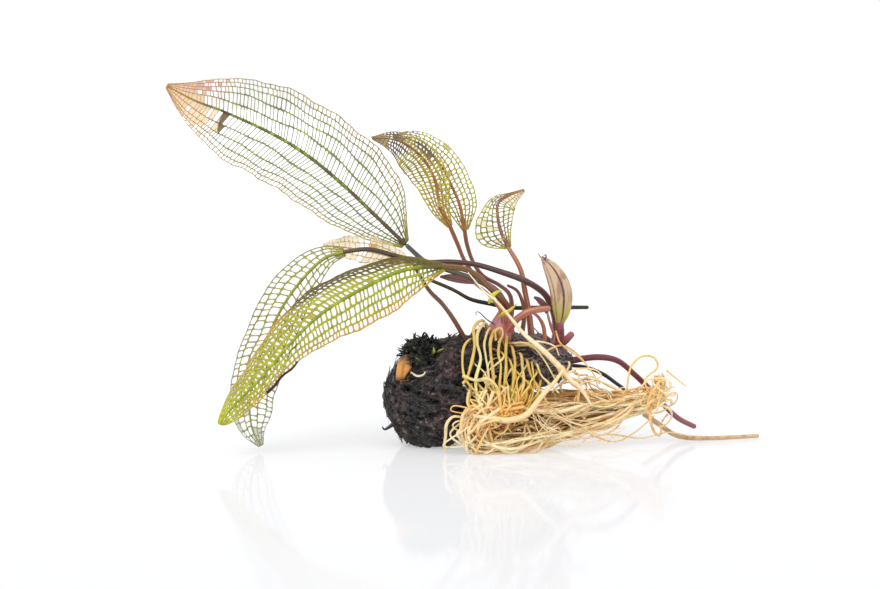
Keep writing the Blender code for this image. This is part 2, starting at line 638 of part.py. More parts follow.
def root_routes():
    """Name, points, radii, steps, finish name and sides of each root that is traced singly."""
    routes = []
    for number, (top, swing, foot) in enumerate(HANGING_ROOTS, 1):
        top = np.array(top)
        foot = np.array(foot)
        lean = np.array((swing, -0.8, 0.0))
        points = (top, top + 0.35 * (foot - top) + lean, top + 0.7 * (foot - top) - 0.3 * lean, foot)
        routes.append((f"hanging_root_{number}", points, (0.6, ROOT_RADIUS, 0.6), 8, "golden root", 4))
    for number, degrees in enumerate(MAT_ROOT_TURNS, 1):
        places = np.linspace(24.0 + 1.5 * (number % 3), 94.0 - 2.5 * (number % 2), 8)
        turns = np.radians(degrees + 5.0 * np.sin(0.12 * places + number))
        points = [mat_ring(x, ROOT_RADIUS + GAP, np.array(turn)) for x, turn in zip(places, turns)]
        routes.append((f"mat_root_{number}", points, (0.5, ROOT_RADIUS, 0.5), 10, "tan root", 4))
    routes += [
        ("long_diagonal_root", ((17, -14, 71), (23, -14.5, 64), (28, -15.5, 60), (34, -15.5, 53),
                                (39, -16.5, 47), (46, -16.5, 41), (51, -15.5, 36), (57, -15, 29),
                                (62, -15, 24.5)), (0.4, 0.9, 1.2, 0.9), 11, "tan root", 6),
        ("sweeping_root", ((19, -25, 15), (26, -25.5, 14), (33, -25, 13), (40, -24, 15),
                           (46, -22, 23), (50.5, -20.5, 28), (53.5, -18.8, 31.5)),
         (0.6, 0.9, 0.6), 9, "tan root", 4),
        ("tuber_front_root", ((14.5, -22.5, 15), (11, -22.5, 15), (8.6, -22.3, 12), (8.2, -21.5, 7),
                              (7.8, -20.5, 3.5), (8.4, -19, 0.75)), (0.4, 0.7, 0.6), 8, "tan root", 4),
        ("end_loop_root", ((81, -1.5, 22.2), (82.5, -0.5, 31), (87, 0.5, 35.5), (92, 1, 35),
                           (93.5, 1, 31), (89.5, 0.5, 27.5), (88.2, -1, 25.2)),
         (0.5, 0.6, 0.4), 9, "tan root", 4),
        ("runner_root", ((89, 9.0, 10.5), (95, 8, 6.5), (101, 6.4, 2.6), (107.5, 5.6, 1.25),
                         (120, 6, 1.2), (136, 10.9, 1.1)), (1.2, 1.1, 0.9), 9, "tan root", 6),
    ]
    return routes


def build_roots(finish, plant):
    """Roots that stand clear of the mat."""
    for name, points, radii, count, colour, sides in root_routes():
        tube(name, points, radii, finish[colour], plant, count, sides)


def main():
    """Build the whole plant."""
    for old in list(bpy.data.objects):
        bpy.data.objects.remove(old)
    plant = new_collection("madagascar lace plant")
    cutters = new_collection("cutters")
    finish = {name: material(name, *values) for name, values in COLOURS.items()}
    tuber_space = build_tuber(finish["tuber bark"], plant, cutters)
    build_moss(finish["moss"], plant, tuber_space)
    shoot_spaces = build_shoots(finish["shoot"], plant, cutters, tuber_space)
    build_stalks(finish, plant, tuber_space, shoot_spaces)
    for leaf in lace_leaves(finish):
        build_leaf(leaf, plant)
    build_young_leaves(finish, plant)
    build_mat(finish["tan root"], plant, tuber_space)
    build_roots(finish, plant)


main()
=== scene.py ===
"""The looks of a bare-root Madagascar lace plant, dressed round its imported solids.

Sizes are millimetres in the frame of the solids and become metres in the meshes. +X runs
from the tuber to the root tips, +Z is up, and the plant is seen from -Y.
"""

from __future__ import annotations

import logging
import math
from dataclasses import dataclass
from enum import Enum
from typing import Sequence

import bpy
import numpy as np
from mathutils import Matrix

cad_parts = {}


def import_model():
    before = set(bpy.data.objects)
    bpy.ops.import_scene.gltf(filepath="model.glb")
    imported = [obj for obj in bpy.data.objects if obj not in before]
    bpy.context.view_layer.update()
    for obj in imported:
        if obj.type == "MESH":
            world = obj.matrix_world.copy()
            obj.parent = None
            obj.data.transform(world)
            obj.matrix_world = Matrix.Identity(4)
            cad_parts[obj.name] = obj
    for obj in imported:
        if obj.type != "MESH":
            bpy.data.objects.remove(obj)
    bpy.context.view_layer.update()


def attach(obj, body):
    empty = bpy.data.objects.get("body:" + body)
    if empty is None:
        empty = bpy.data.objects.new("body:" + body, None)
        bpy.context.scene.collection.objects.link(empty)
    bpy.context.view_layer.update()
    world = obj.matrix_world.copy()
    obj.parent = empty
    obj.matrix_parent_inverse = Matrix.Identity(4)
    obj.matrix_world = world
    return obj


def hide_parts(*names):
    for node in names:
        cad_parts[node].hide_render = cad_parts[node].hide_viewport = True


MM = 0.001
LOG = logging.getLogger("lace plant")

Point = tuple[float, float, float]
Colour = tuple[float, float, float]


# Surfaces worked out as whole arrays.


@dataclass
class Surface:
    """A mesh in the making.

    points holds millimetres, faces holds arrays of polygons of one size each, and paint
    holds a number per point for each name that a material reads.
    """

    points: np.ndarray
    faces: list[np.ndarray]
    paint: dict[str, np.ndarray]


def joined(parts: Sequence[Surface]) -> Surface:
    """Put several surfaces into one, without welding them.

    Args:
        parts: The surfaces, in order. A paint that one lacks is 0 there.

    Returns:
        One surface with every point, face and paint.
    """
    counts = [len(part.points) for part in parts]
    starts = np.cumsum([0] + counts[:-1])
    names = sorted({name for part in parts for name in part.paint})
    paint = {name: np.concatenate([part.paint.get(name, np.zeros(count))
                                   for part, count in zip(parts, counts)]) for name in names}
    faces = [polygons + start for part, start in zip(parts, starts) for polygons in part.faces]
    return Surface(np.concatenate([part.points for part in parts]), faces, paint)


def unit(vectors: np.ndarray) -> np.ndarray:
    """Each vector divided by its own length."""
    return vectors / np.maximum(np.linalg.norm(vectors, axis=-1, keepdims=True), 1e-9)


def smooth_values(values: Sequence[float] | np.ndarray, u: np.ndarray) -> np.ndarray:
    """Read a row of values at u, 0 to 1, along a Catmull-Rom curve.

    The curve passes each value with the slope of the line between its two neighbours.

    Args:
        values: Numbers or points, evenly spread over 0 to 1 on the first axis.
        u: Where to read, of any shape.

    Returns:
        The values at u, with the shape of u before that of one value.
    """
    given = np.asarray(values, float)
    padded = np.concatenate([2 * given[:1] - given[1:2], given, 2 * given[-1:] - given[-2:-1]])
    spans = len(given) - 1
    place = np.clip(np.asarray(u, float), 0.0, 1.0) * spans
    span = np.minimum(place.astype(int), spans - 1)
    t = (place - span).reshape(place.shape + (1,) * (given.ndim - 1))
    before, start, end, after = (padded[span + step] for step in range(4))
    return 0.5 * (2 * start + (end - before) * t + (2 * before - 5 * start + 4 * end - after) * t ** 2
                  + (3 * start - before - 3 * end + after) * t ** 3)


def even_path(route: Sequence[Point], count: int) -> np.ndarray:
    """Points at even distances along a smooth curve through a route.

    Args:
        route: The points that the curve passes.
        count: How many points to give.

    Returns:
        An array of count points.
    """
    dense = smooth_values(route, np.linspace(0.0, 1.0, 40 * len(route)))
    steps = np.linalg.norm(np.diff(dense, axis=0), axis=1)
    travelled = np.concatenate([[0.0], np.cumsum(steps)])
    wanted = np.linspace(0.0, travelled[-1], count)
    return np.stack([np.interp(wanted, travelled, dense[:, axis]) for axis in range(3)], axis=1)


def smooth_paths(controls: np.ndarray, count: int) -> np.ndarray:
    """Catmull-Rom curves through many rows of control points at once.

    Args:
        controls: An array of paths by control points by 3.
        count: Points on each finished path.

    Returns:
        An array of paths by count by 3.
    """
    read = smooth_values(np.moveaxis(controls, 1, 0), np.linspace(0.0, 1.0, count))
    return np.moveaxis(read, 0, 1)


def lumps(points: np.ndarray, pitch: float, seed: int, octaves: int = 3) -> np.ndarray:
    """Even lumpiness in space, about -1 to 1.

    It is the mean of sine waves in random directions, and each octave has half the wave
    length and half the height of the one before.

    Args:
        points: Places in millimetres, 3 on the last axis.
        pitch: The wave length of the first octave.
        seed: Which pattern to draw.
        octaves: How many wave lengths to add up.

    Returns:
        A number for each place.
    """
    dice = np.random.default_rng(seed)
    total = np.zeros(points.shape[:-1])
    for octave in range(octaves):
        directions = unit(dice.normal(size=(7, 3))) * (2 * math.pi * 2 ** octave / pitch)
        shifts = dice.uniform(0.0, 2 * math.pi, 7)
        total += np.sin(points @ directions.T + shifts).mean(-1) * 1.6 * 0.5 ** octave
    return total


def ring_faces(rows: int, around: int) -> np.ndarray:
    """Quads between rows of rings that close on themselves, facing out of a right-handed turn."""
    row, side = np.meshgrid(np.arange(rows - 1), np.arange(around), indexing="ij")
    here = row * around + side
    beside = row * around + (side + 1) % around
    return np.stack([here, beside, beside + around, here + around], axis=-1).reshape(-1, 4)


def closed_rings(rings: np.ndarray, poles: np.ndarray) -> tuple[np.ndarray, list[np.ndarray]]:
    """Points and faces of a skin over rings, with a point at each end that closes it.

    Args:
        rings: Rows by sides by 3.
        poles: The two end points.

    Returns:
        The points, and the quads and the end triangles.
    """
    rows, around = rings.shape[:2]
    side = np.arange(around)
    beside = (side + 1) % around
    last = (rows - 1) * around
    first_pole = np.full(around, rows * around)
    caps = np.concatenate([np.stack([first_pole, beside, side], axis=1),
                           np.stack([first_pole + 1, last + side, last + beside], axis=1)])
    return np.concatenate([rings.reshape(-1, 3), poles]), [ring_faces(rows, around), caps]


def path_frames(paths: np.ndarray) -> tuple[np.ndarray, np.ndarray, np.ndarray]:
    """Tangents and two crosswise directions along paths, turning as little as they can.

    The first crosswise direction is carried from point to point and only loses its part
    along each new tangent, so a tube round the path is never wrung.

    Args:
        paths: Paths by points by 3.

    Returns:
        The tangents, the carried directions, and the directions square to both.
    """
    tangent = unit(np.gradient(paths, axis=1))
    side = np.empty_like(tangent)
    carried = unit(np.cross(tangent[:, 0], (0.31, 0.22, 0.93)))
    for step in range(paths.shape[1]):
        along = tangent[:, step]
        carried = unit(carried - (carried * along).sum(-1, keepdims=True) * along)
        side[:, step] = carried
    return tangent, side, np.cross(tangent, side)


def tubes(paths: np.ndarray, radii: np.ndarray, sides: int = 6, flat: float = 1.0,
          lobes: tuple[int, float] = (0, 0.0), seed: int = 1) -> Surface:
    """Closed tubes along many paths.

    A point is the path's point plus the radius times the cosine and sine of the turn,
    along the two crosswise directions. Lobes swell the radius by a cosine of the turn.

    Args:
        paths: Paths by points by 3, or one path.
        radii: One radius for each point of each path, or numbers that broadcast to that.
        sides: Points round each tube.
        flat: Thickness as a share of the width.
        lobes: How many ribs run along a tube, and their height as a share of the radius.
        seed: Which random number each tube gets as its strand paint.

    Returns:
        One surface. Its paint is along, strand and turn.
    """
    paths = paths[None] if paths.ndim == 2 else paths
    count, steps = paths.shape[:2]
    radii = np.broadcast_to(radii, (count, steps))
    tangent, side, up = path_frames(paths)
    turn = np.linspace(0.0, 2 * math.pi, sides, endpoint=False)
    swell = 1.0 + lobes[1] * np.cos(lobes[0] * turn)
    across = (np.cos(turn) * swell)[:, None] * side[:, :, None]
    over = (flat * np.sin(turn) * swell)[:, None] * up[:, :, None]
    rings = paths[:, :, None] + radii[:, :, None, None] * (across + over)
    ends = np.stack([paths[:, 0] - 0.6 * radii[:, :1] * tangent[:, 0],
                     paths[:, -1] + 0.6 * radii[:, -1:] * tangent[:, -1]], axis=1)
    points = np.concatenate([rings.reshape(count, -1, 3), ends], axis=1)
    faces = closed_rings(rings[0], ends[0])[1]
    starts = (np.arange(count) * points.shape[1])[:, None, None]
    every = [(polygons + starts).reshape(-1, polygons.shape[1]) for polygons in faces]
    along = np.concatenate([np.repeat(np.linspace(0.0, 1.0, steps), sides), [0.0, 1.0]])
    turns = np.concatenate([np.tile(turn, steps), [0.0, 0.0]])
    strand = np.random.default_rng(seed).uniform(0.0, 1.0, count)
    paint = {"along": np.tile(along, count), "turn": np.tile(turns, count),
             "strand": np.repeat(strand, points.shape[1])}
    return Surface(points.reshape(-1, 3), every, paint)


def add_piece(name: str, surface: Surface, finish: bpy.types.Material,
              nodes: Sequence[str]) -> bpy.types.Object:
    """Make a mesh object that rides on the plant and stands for its solids.

    Args:
        name: The piece's name.
        surface: Its shape and paint.
        finish: Its material.
        nodes: The solids that it replaces.

    Returns:
        The new object, at the origin.
    """
    mesh = bpy.data.meshes.new(name)
    corners = np.concatenate([polygons.ravel() for polygons in surface.faces])
    sizes = np.concatenate([np.full(len(polygons), polygons.shape[1]) for polygons in surface.faces])
    mesh.vertices.add(len(surface.points))
    mesh.vertices.foreach_set("co", (surface.points * MM).astype(np.float32).ravel())
    mesh.loops.add(len(corners))
    mesh.loops.foreach_set("vertex_index", corners.astype(np.int32))
    mesh.polygons.add(len(sizes))
    mesh.polygons.foreach_set("loop_start", (np.cumsum(sizes) - sizes).astype(np.int32))
    mesh.update(calc_edges=True)
    mesh.validate()
    mesh.shade_smooth()
    for paint, values in surface.paint.items():
        layer = mesh.attributes.new(paint, "FLOAT", "POINT")
        layer.data.foreach_set("value", values.astype(np.float32))
    mesh.materials.append(finish)
    piece = bpy.data.objects.new(name, mesh)
    bpy.context.scene.collection.objects.link(piece)
    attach(piece, "root")
    if nodes:
        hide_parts(*nodes)
    LOG.info("%s: %d triangles", name, int((sizes - 2).sum()))
    return piece


# Shader maths as expressions.


class Channel:
    """A number that varies over a surface, with Python's arithmetic."""

    def __init__(self, shader: "Shader", socket: bpy.types.NodeSocket) -> None:
        """Wrap an output socket of a shader's node."""
        self.shader = shader
        self.socket = socket

    def __add__(self, other: "Channel | float") -> "Channel":
        """Add a number or a channel."""
        return self.shader.maths("ADD", self, other)

    def __radd__(self, other: float) -> "Channel":
        """Add to a plain number."""
        return self.shader.maths("ADD", other, self)

    def __sub__(self, other: "Channel | float") -> "Channel":
        """Take away a number or a channel."""
        return self.shader.maths("SUBTRACT", self, other)

    def __rsub__(self, other: float) -> "Channel":
        """Take this channel from a plain number."""
        return self.shader.maths("SUBTRACT", other, self)

    def __mul__(self, other: "Channel | float") -> "Channel":
        """Multiply by a number or a channel."""
        return self.shader.maths("MULTIPLY", self, other)

    def __rmul__(self, other: float) -> "Channel":
        """Multiply a plain number."""
        return self.shader.maths("MULTIPLY", other, self)

    def __pow__(self, other: float) -> "Channel":
        """Raise to a power."""
        return self.shader.maths("POWER", self, other)

    def size(self) -> "Channel":
        """The number without its sign."""
        return self.shader.maths("ABSOLUTE", self)

    def sine(self) -> "Channel":
        """The sine of the number, in radians."""
        return self.shader.maths("SINE", self)

    def between(self, low: float, high: float) -> "Channel":
        """0 at low, 1 at high, and a smooth step between them."""
        node = self.shader.node("ShaderNodeMapRange", {"interpolation_type": "SMOOTHSTEP"},
                                {"Value": self, "From Min": low, "From Max": high})
        return Channel(self.shader, node.outputs[0])


Number = Channel | float


class Shader:
    """One material, built up from expressions."""

    def __init__(self, name: str) -> None:
        """Start an empty material with a Principled surface."""
        self.material = bpy.data.materials.new(name)
        self.material.use_nodes = True
        self.tree = self.material.node_tree
        self.surface = self.tree.nodes["Principled BSDF"]

    def node(self, kind: str, settings: dict | None = None, values: dict | None = None) -> bpy.types.Node:
        """Add a node.

        Args:
            kind: The node's type.
            settings: Properties, which are set first. "stops" are a ramp's stops.
            values: Numbers, colours, channels or sockets for its inputs, by name or place.

        Returns:
            The node.
        """
        made = self.tree.nodes.new(kind)
        for key, value in (settings or {}).items():
            if key == "stops":
                self._set_stops(made, value)
            else:
                setattr(made, key, value)
        for key, value in (values or {}).items():
            self.feed(made.inputs[key], value)
        return made

    @staticmethod
    def _set_stops(ramp: bpy.types.Node, stops: Sequence[tuple[float, Colour]]) -> None:
        """Give a colour ramp its stops."""
        elements = ramp.color_ramp.elements
        while len(elements) < len(stops):
            elements.new(1.0)
        for element, (place, colour) in zip(elements, stops):
            element.position = place
            element.color = (*colour, 1.0)

    def feed(self, target: bpy.types.NodeSocket, value: object) -> None:
        """Link a channel or socket to an input, or set its plain value."""
        if isinstance(value, Channel):
            self.tree.links.new(value.socket, target)
        elif isinstance(value, bpy.types.NodeSocket):
            self.tree.links.new(value, target)
        elif isinstance(value, tuple) and len(value) == 3 and len(target.default_value) == 4:
            target.default_value = (*value, 1.0)
        else:
            target.default_value = value

    def maths(self, operation: str, *values: Number) -> Channel:
        """A Math node on channels and numbers."""
        made = self.node("ShaderNodeMath", {"operation": operation}, dict(enumerate(values)))
        return Channel(self, made.outputs[0])

    def paint(self, name: str) -> Channel:
        """The number that a piece's own points carry under a name."""
        return Channel(self, self.node("ShaderNodeAttribute", {"attribute_name": name}).outputs["Fac"])

    def place(self, stretch: Point = (1.0, 1.0, 1.0)) -> bpy.types.NodeSocket:
        """Object coordinates, scaled on each axis."""
        where = self.node("ShaderNodeTexCoord").outputs["Object"]
        return self.node("ShaderNodeMapping", {}, {"Vector": where, "Scale": stretch}).outputs[0]

    def noise(self, pitch: float, detail: float = 3.0, stretch: Point = (1.0, 1.0, 1.0)) -> Channel:
        """Cloudy noise, 0 to 1.

        Args:
            pitch: The size of its blotches in millimetres.
            detail: How many finer layers it has.
            stretch: How much finer it is on each axis.

        Returns:
            The noise as a channel.
        """
        made = self.node("ShaderNodeTexNoise", {}, {"Vector": self.place(stretch),
                                                    "Scale": 1.0 / (pitch * MM), "Detail": detail})
        return Channel(self, made.outputs[0])

    def cells(self, pitch: float) -> Channel:
        """The distance from the middle of the nearest random cell, 0 to about 1."""
        made = self.node("ShaderNodeTexVoronoi", {}, {"Vector": self.place(), "Scale": 1.0 / (pitch * MM)})
        return Channel(self, made.outputs["Distance"])

    def mix(self, amount: Number, first: object, second: object) -> bpy.types.NodeSocket:
        """A colour between two colours."""
        made = self.node("ShaderNodeMix", {"data_type": "RGBA"}, {0: amount, 6: first, 7: second})
        return made.outputs[2]

    def bump(self, height: Channel, depth: float, strength: float = 1.0) -> None:
        """Feed the surface's normal from a height, whose full step is depth millimetres."""
        made = self.node("ShaderNodeBump", {}, {"Height": height, "Distance": depth * MM,
                                                "Strength": strength})
        self.feed(self.surface.inputs["Normal"], made.outputs[0])

    def finish(self, colour: object, roughness: Number, **constants: float | Point) -> bpy.types.Material:
        """Set the surface and give the material.

        Args:
            colour: The base colour.
            roughness: The roughness.
            constants: Other sockets, named with _ for a space.

        Returns:
            The finished material.
        """
        self.feed(self.surface.inputs["Base Color"], colour)
        self.feed(self.surface.inputs["Roughness"], roughness)
        for key, value in constants.items():
            self.feed(self.surface.inputs[key.replace("_", " ")], value)
        return self.material


# Finishes.


@dataclass(frozen=True)
class LaceFinish:
    """The skin of a lace leaf: its veins, the tissue left in its cells, and its tip."""

    name: str
    lattice: Colour
    long_vein: Colour
    midrib: Colour
    tissue: Colour
    tip: Colour
    margin: Colour
    stain: Colour = (0.10, 0.045, 0.012)
    fleck: Colour = (0.42, 0.50, 0.05)
    dark: Colour = (0.05, 0.055, 0.015)
    blush: Colour = (0.62, 0.20, 0.16)
    tip_start: float = 0.8
    margin_share: float = 0.6
    fleck_share: float = 0.7
    tissue_alpha: float = 0.75

    def material(self) -> bpy.types.Material:
        """Veins by kind, flecked, stained, and warmed to the tip and the margin."""
        shader = Shader(self.name)
        rib = shader.paint("rib")
        tissue = shader.paint("tissue")
        blotches = shader.noise(2.6)
        colour = shader.mix(rib.between(0.1, 0.4), self.lattice, self.long_vein)
        colour = shader.mix(rib.between(0.6, 0.95), colour, self.midrib)
        colour = shader.mix(blotches.between(0.5, 0.66) * self.fleck_share, colour, self.fleck)
        colour = shader.mix(shader.noise(1.3).between(0.56, 0.68) * 0.65, colour, self.dark)
        margin = shader.paint("across").size().between(0.6, 1.0) * blotches.between(0.34, 0.52)
        colour = shader.mix(margin * self.margin_share, colour, self.margin)
        reach = shader.paint("along") + 0.14 * shader.noise(9.0) - 0.07
        tip = reach.between(self.tip_start, self.tip_start + 0.14)
        colour = shader.mix(tip * (1.0 - 0.4 * rib), colour, self.tip)
        colour = shader.mix(tissue.between(0.15, 0.5) * 0.9, colour, self.tissue)
        colour = shader.mix(shader.paint("blush") * blotches.between(0.3, 0.5), colour, self.blush)
        stain = (shader.paint("stain") + 0.5 * blotches - 0.25).between(0.3, 0.75)
        colour = shader.mix(stain * 0.9, colour, self.stain)
        colour = shader.mix(shader.paint("dead"), colour, (0.012, 0.009, 0.006))
        shader.bump(shader.noise(0.5, 2.0), 0.1, 0.6)
        clear = 1.0 - tissue.between(0.2, 0.6) * (1.0 - self.tissue_alpha) * (1.0 - stain)
        return shader.finish(colour, 0.36 + 0.25 * blotches, Alpha=clear, Subsurface_Weight=0.12,
                             Subsurface_Radius=(1.0, 0.9, 0.3), Subsurface_Scale=0.8 * MM)


@dataclass(frozen=True)
class StalkFinish:
    """The skin of a stalk, from its foot to its blade, with fine lengthwise streaks."""

    name: str
    foot: Colour
    middle: Colour
    end: Colour
    streak: Colour
    streaks: int = 5
    roughness: float = 0.3

    def material(self) -> bpy.types.Material:
        """Three colours along the stalk, streaked and a little mottled."""
        shader = Shader(self.name)
        along = shader.paint("along")
        mottle = shader.noise(2.2)
        colour = shader.mix((along + 0.15 * mottle).between(0.05, 0.45), self.foot, self.middle)
        colour = shader.mix((along + 0.15 * mottle).between(0.55, 1.05), colour, self.end)
        wave = (shader.paint("turn") * float(self.streaks) + 4.0 * along + 2.0 * mottle).sine()
        colour = shader.mix(wave.between(0.3, 1.0) * 0.55, colour, self.streak)
        shader.bump(wave * 0.5 + shader.noise(0.5, 2.0), 0.12, 0.6)
        return shader.finish(colour, self.roughness + 0.2 * mottle, Subsurface_Weight=0.12,
                             Subsurface_Radius=(1.0, 0.35, 0.25), Subsurface_Scale=1.0 * MM,
                             Coat_Weight=0.25, Coat_Roughness=0.2)


@dataclass(frozen=True)
class RootFinish:
    """Fleshy root skin, a little different on each root."""

    name: str
    pale: Colour
    warm: Colour
    deep: Colour
    # Painted light: the orange of light shining through the roots at the heap's heart.
    glow: Colour = (0.90, 0.42, 0.07)
    # Painted shade: the dark colour that strands deeper inside the heap turn towards.
    inner: Colour = (0.42, 0.19, 0.04)

    def material(self) -> bpy.types.Material:
        """Colour by root and by blotches, with a painted orange glow at the heap's heart and painted shade on
        strands deeper inside the heap.
        """
        shader = Shader(self.name)
        strand = shader.paint("strand")
        mottle = shader.noise(4.0)
        colour = shader.mix((strand + 0.9 * mottle - 0.4).between(0.1, 0.9), self.pale, self.warm)
        some = (strand * 29.0).sine().between(0.35, 1.0)
        colour = shader.mix(shader.noise(2.4).between(0.5, 0.7) * 0.45 + some * 0.4, colour, self.deep)
        # Painted glow: orange light at the heap's heart, on some of its strands.
        glow = shader.paint("glow") * (strand * 17.0).sine().between(-0.9, 0.6)
        colour = shader.mix(glow * 0.9, colour, self.glow)
        # Painted shade: strands further behind the heap's front are darkened towards the inner colour.
        colour = shader.mix(shader.paint("inner") * 0.8, colour, self.inner)
        shader.bump(shader.noise(0.6, 2.0), 0.14, 0.6)
        return shader.finish(colour, 0.34 + 0.25 * mottle, Subsurface_Weight=0.2,
                             Subsurface_Radius=(1.0, 0.6, 0.25), Subsurface_Scale=1.0 * MM)


@dataclass(frozen=True)
class BarkFinish:
    """The tuber's black and reddish-brown fibrous skin, with an orange cut."""

    name: str = "tuber_bark"
    # The darkest colour, used too for the painted shade in the skin's hollows.
    black: Colour = (0.006, 0.005, 0.005)
    brown: Colour = (0.095, 0.042, 0.036)
    violet: Colour = (0.052, 0.036, 0.042)
    # Pale fibres, which also stand for painted highlights on the skin.
    grey: Colour = (0.28, 0.235, 0.225)
    cut: Colour = (0.66, 0.31, 0.05)

    def material(self) -> bpy.types.Material:
        """Blotches of dark browns, painted shade that blackens the low places of the relief, pale fibres that are
        partly painted highlights, and the painted cut, with a rough relief.
        """
        shader = Shader(self.name)
        fibre = shader.noise(1.1, 5.0, (0.5, 1.0, 1.0))
        colour = shader.mix(shader.noise(8.0).between(0.40, 0.62), self.black, self.brown)
        colour = shader.mix(shader.noise(5.0, 3.0, (1.0, 1.3, 1.6)).between(0.5, 0.64), colour, self.violet)
        # Painted shade: the low places of the relief are blackened.
        colour = shader.mix((1.0 - shader.paint("raised")).between(0.35, 0.8), colour, self.black)
        # Pale fibres in streaks, partly painted highlights.
        colour = shader.mix(fibre.between(0.57, 0.68) * 0.6, colour, self.grey)
        cut = (shader.paint("cut") + 0.5 * shader.noise(1.5) - 0.25).between(0.4, 0.6)
        colour = shader.mix(cut, colour, shader.mix(fibre.between(0.45, 0.8), self.cut, (0.34, 0.12, 0.02)))
        shader.bump(fibre + 0.6 * shader.noise(0.4, 3.0), 0.7, 1.0)
        return shader.finish(colour, 0.3 + 0.45 * shader.noise(3.0), Specular_IOR_Level=0.7,
                             Coat_Weight=0.3, Coat_Roughness=0.25)


@dataclass(frozen=True)
class FibreFinish:
    """Dead fibre, moss and fine hairs: mostly dark, some of another colour."""

    name: str
    dark: Colour
    other: Colour
    share: float

    def material(self) -> bpy.types.Material:
        """A dark skin, or the other colour on a share of the strands."""
        shader = Shader(self.name)
        chosen = shader.paint("strand").between(1.0 - self.share - 0.02, 1.0 - self.share + 0.02)
        colour = shader.mix(chosen, self.dark, self.other)
        colour = shader.mix(shader.noise(1.2).between(0.5, 0.8) * 0.4, colour, self.other)
        shader.bump(shader.noise(0.4, 2.0), 0.15, 0.6)
        return shader.finish(colour, 0.4 + 0.3 * shader.noise(2.0), Specular_IOR_Level=0.6)


@dataclass(frozen=True)
class BudFinish:
    """The rolled young leaf: olive-tan with purple stripes along its folds."""

    name: str = "young_leaf"
    tan: Colour = (0.62, 0.44, 0.28)
    green: Colour = (0.52, 0.46, 0.10)
    purple: Colour = (0.15, 0.050, 0.060)

    def material(self) -> bpy.types.Material:
        """Tan that greens to the foot, striped where the paint called fold is high."""
        shader = Shader(self.name)
        along = shader.paint("along")
        mottle = shader.noise(2.0)
        colour = shader.mix(along.between(0.05, 0.5), self.green, self.tan)
        colour = shader.mix(shader.noise(3.0, 3.0, (1.0, 1.0, 0.3)).between(0.48, 0.62) * 0.5, colour,
                            self.purple)
        stripe = (shader.paint("fold") + 0.5 * mottle - 0.25).between(0.3, 0.9)
        colour = shader.mix(stripe, colour, self.purple)
        shader.bump(shader.paint("fold") * 0.5 + shader.noise(0.7, 2.0), 0.2, 0.6)
        return shader.finish(colour, 0.35 + 0.15 * mottle, Subsurface_Weight=0.15,
                             Subsurface_Radius=(1.0, 0.6, 0.3), Subsurface_Scale=1.0 * MM)


# Lace leaves.

# Round each cell of the lattice: places on its outline, along and across, in order.
CELL_RING = np.array([(-3, -3), (-1, -3), (1, -3), (3, -3), (3, -1), (3, 1),
                      (3, 3), (1, 3), (-1, 3), (-3, 3), (-3, 1), (-3, -1)]) / 3.0


class Half(Enum):
    """The two halves of a blade, by the sign of the place across it."""

    NEAR = -1
    FAR = 1


@dataclass(frozen=True)
class Weave:
    """How one half of a blade is woven.

    levels are the long veins' places from midrib to margin, 0 to 1, and pitch is the
    distance between cross veins. opening is how much of each cell is a hole, and
    tip_opening multiplies it towards the tip. A high corner makes the holes squarer.
    """

    levels: tuple[float, ...]
    pitch: float
    opening: float
    cross_width: float
    long_width: float
    corner: float = 3.4
    tip_opening: float = 1.0


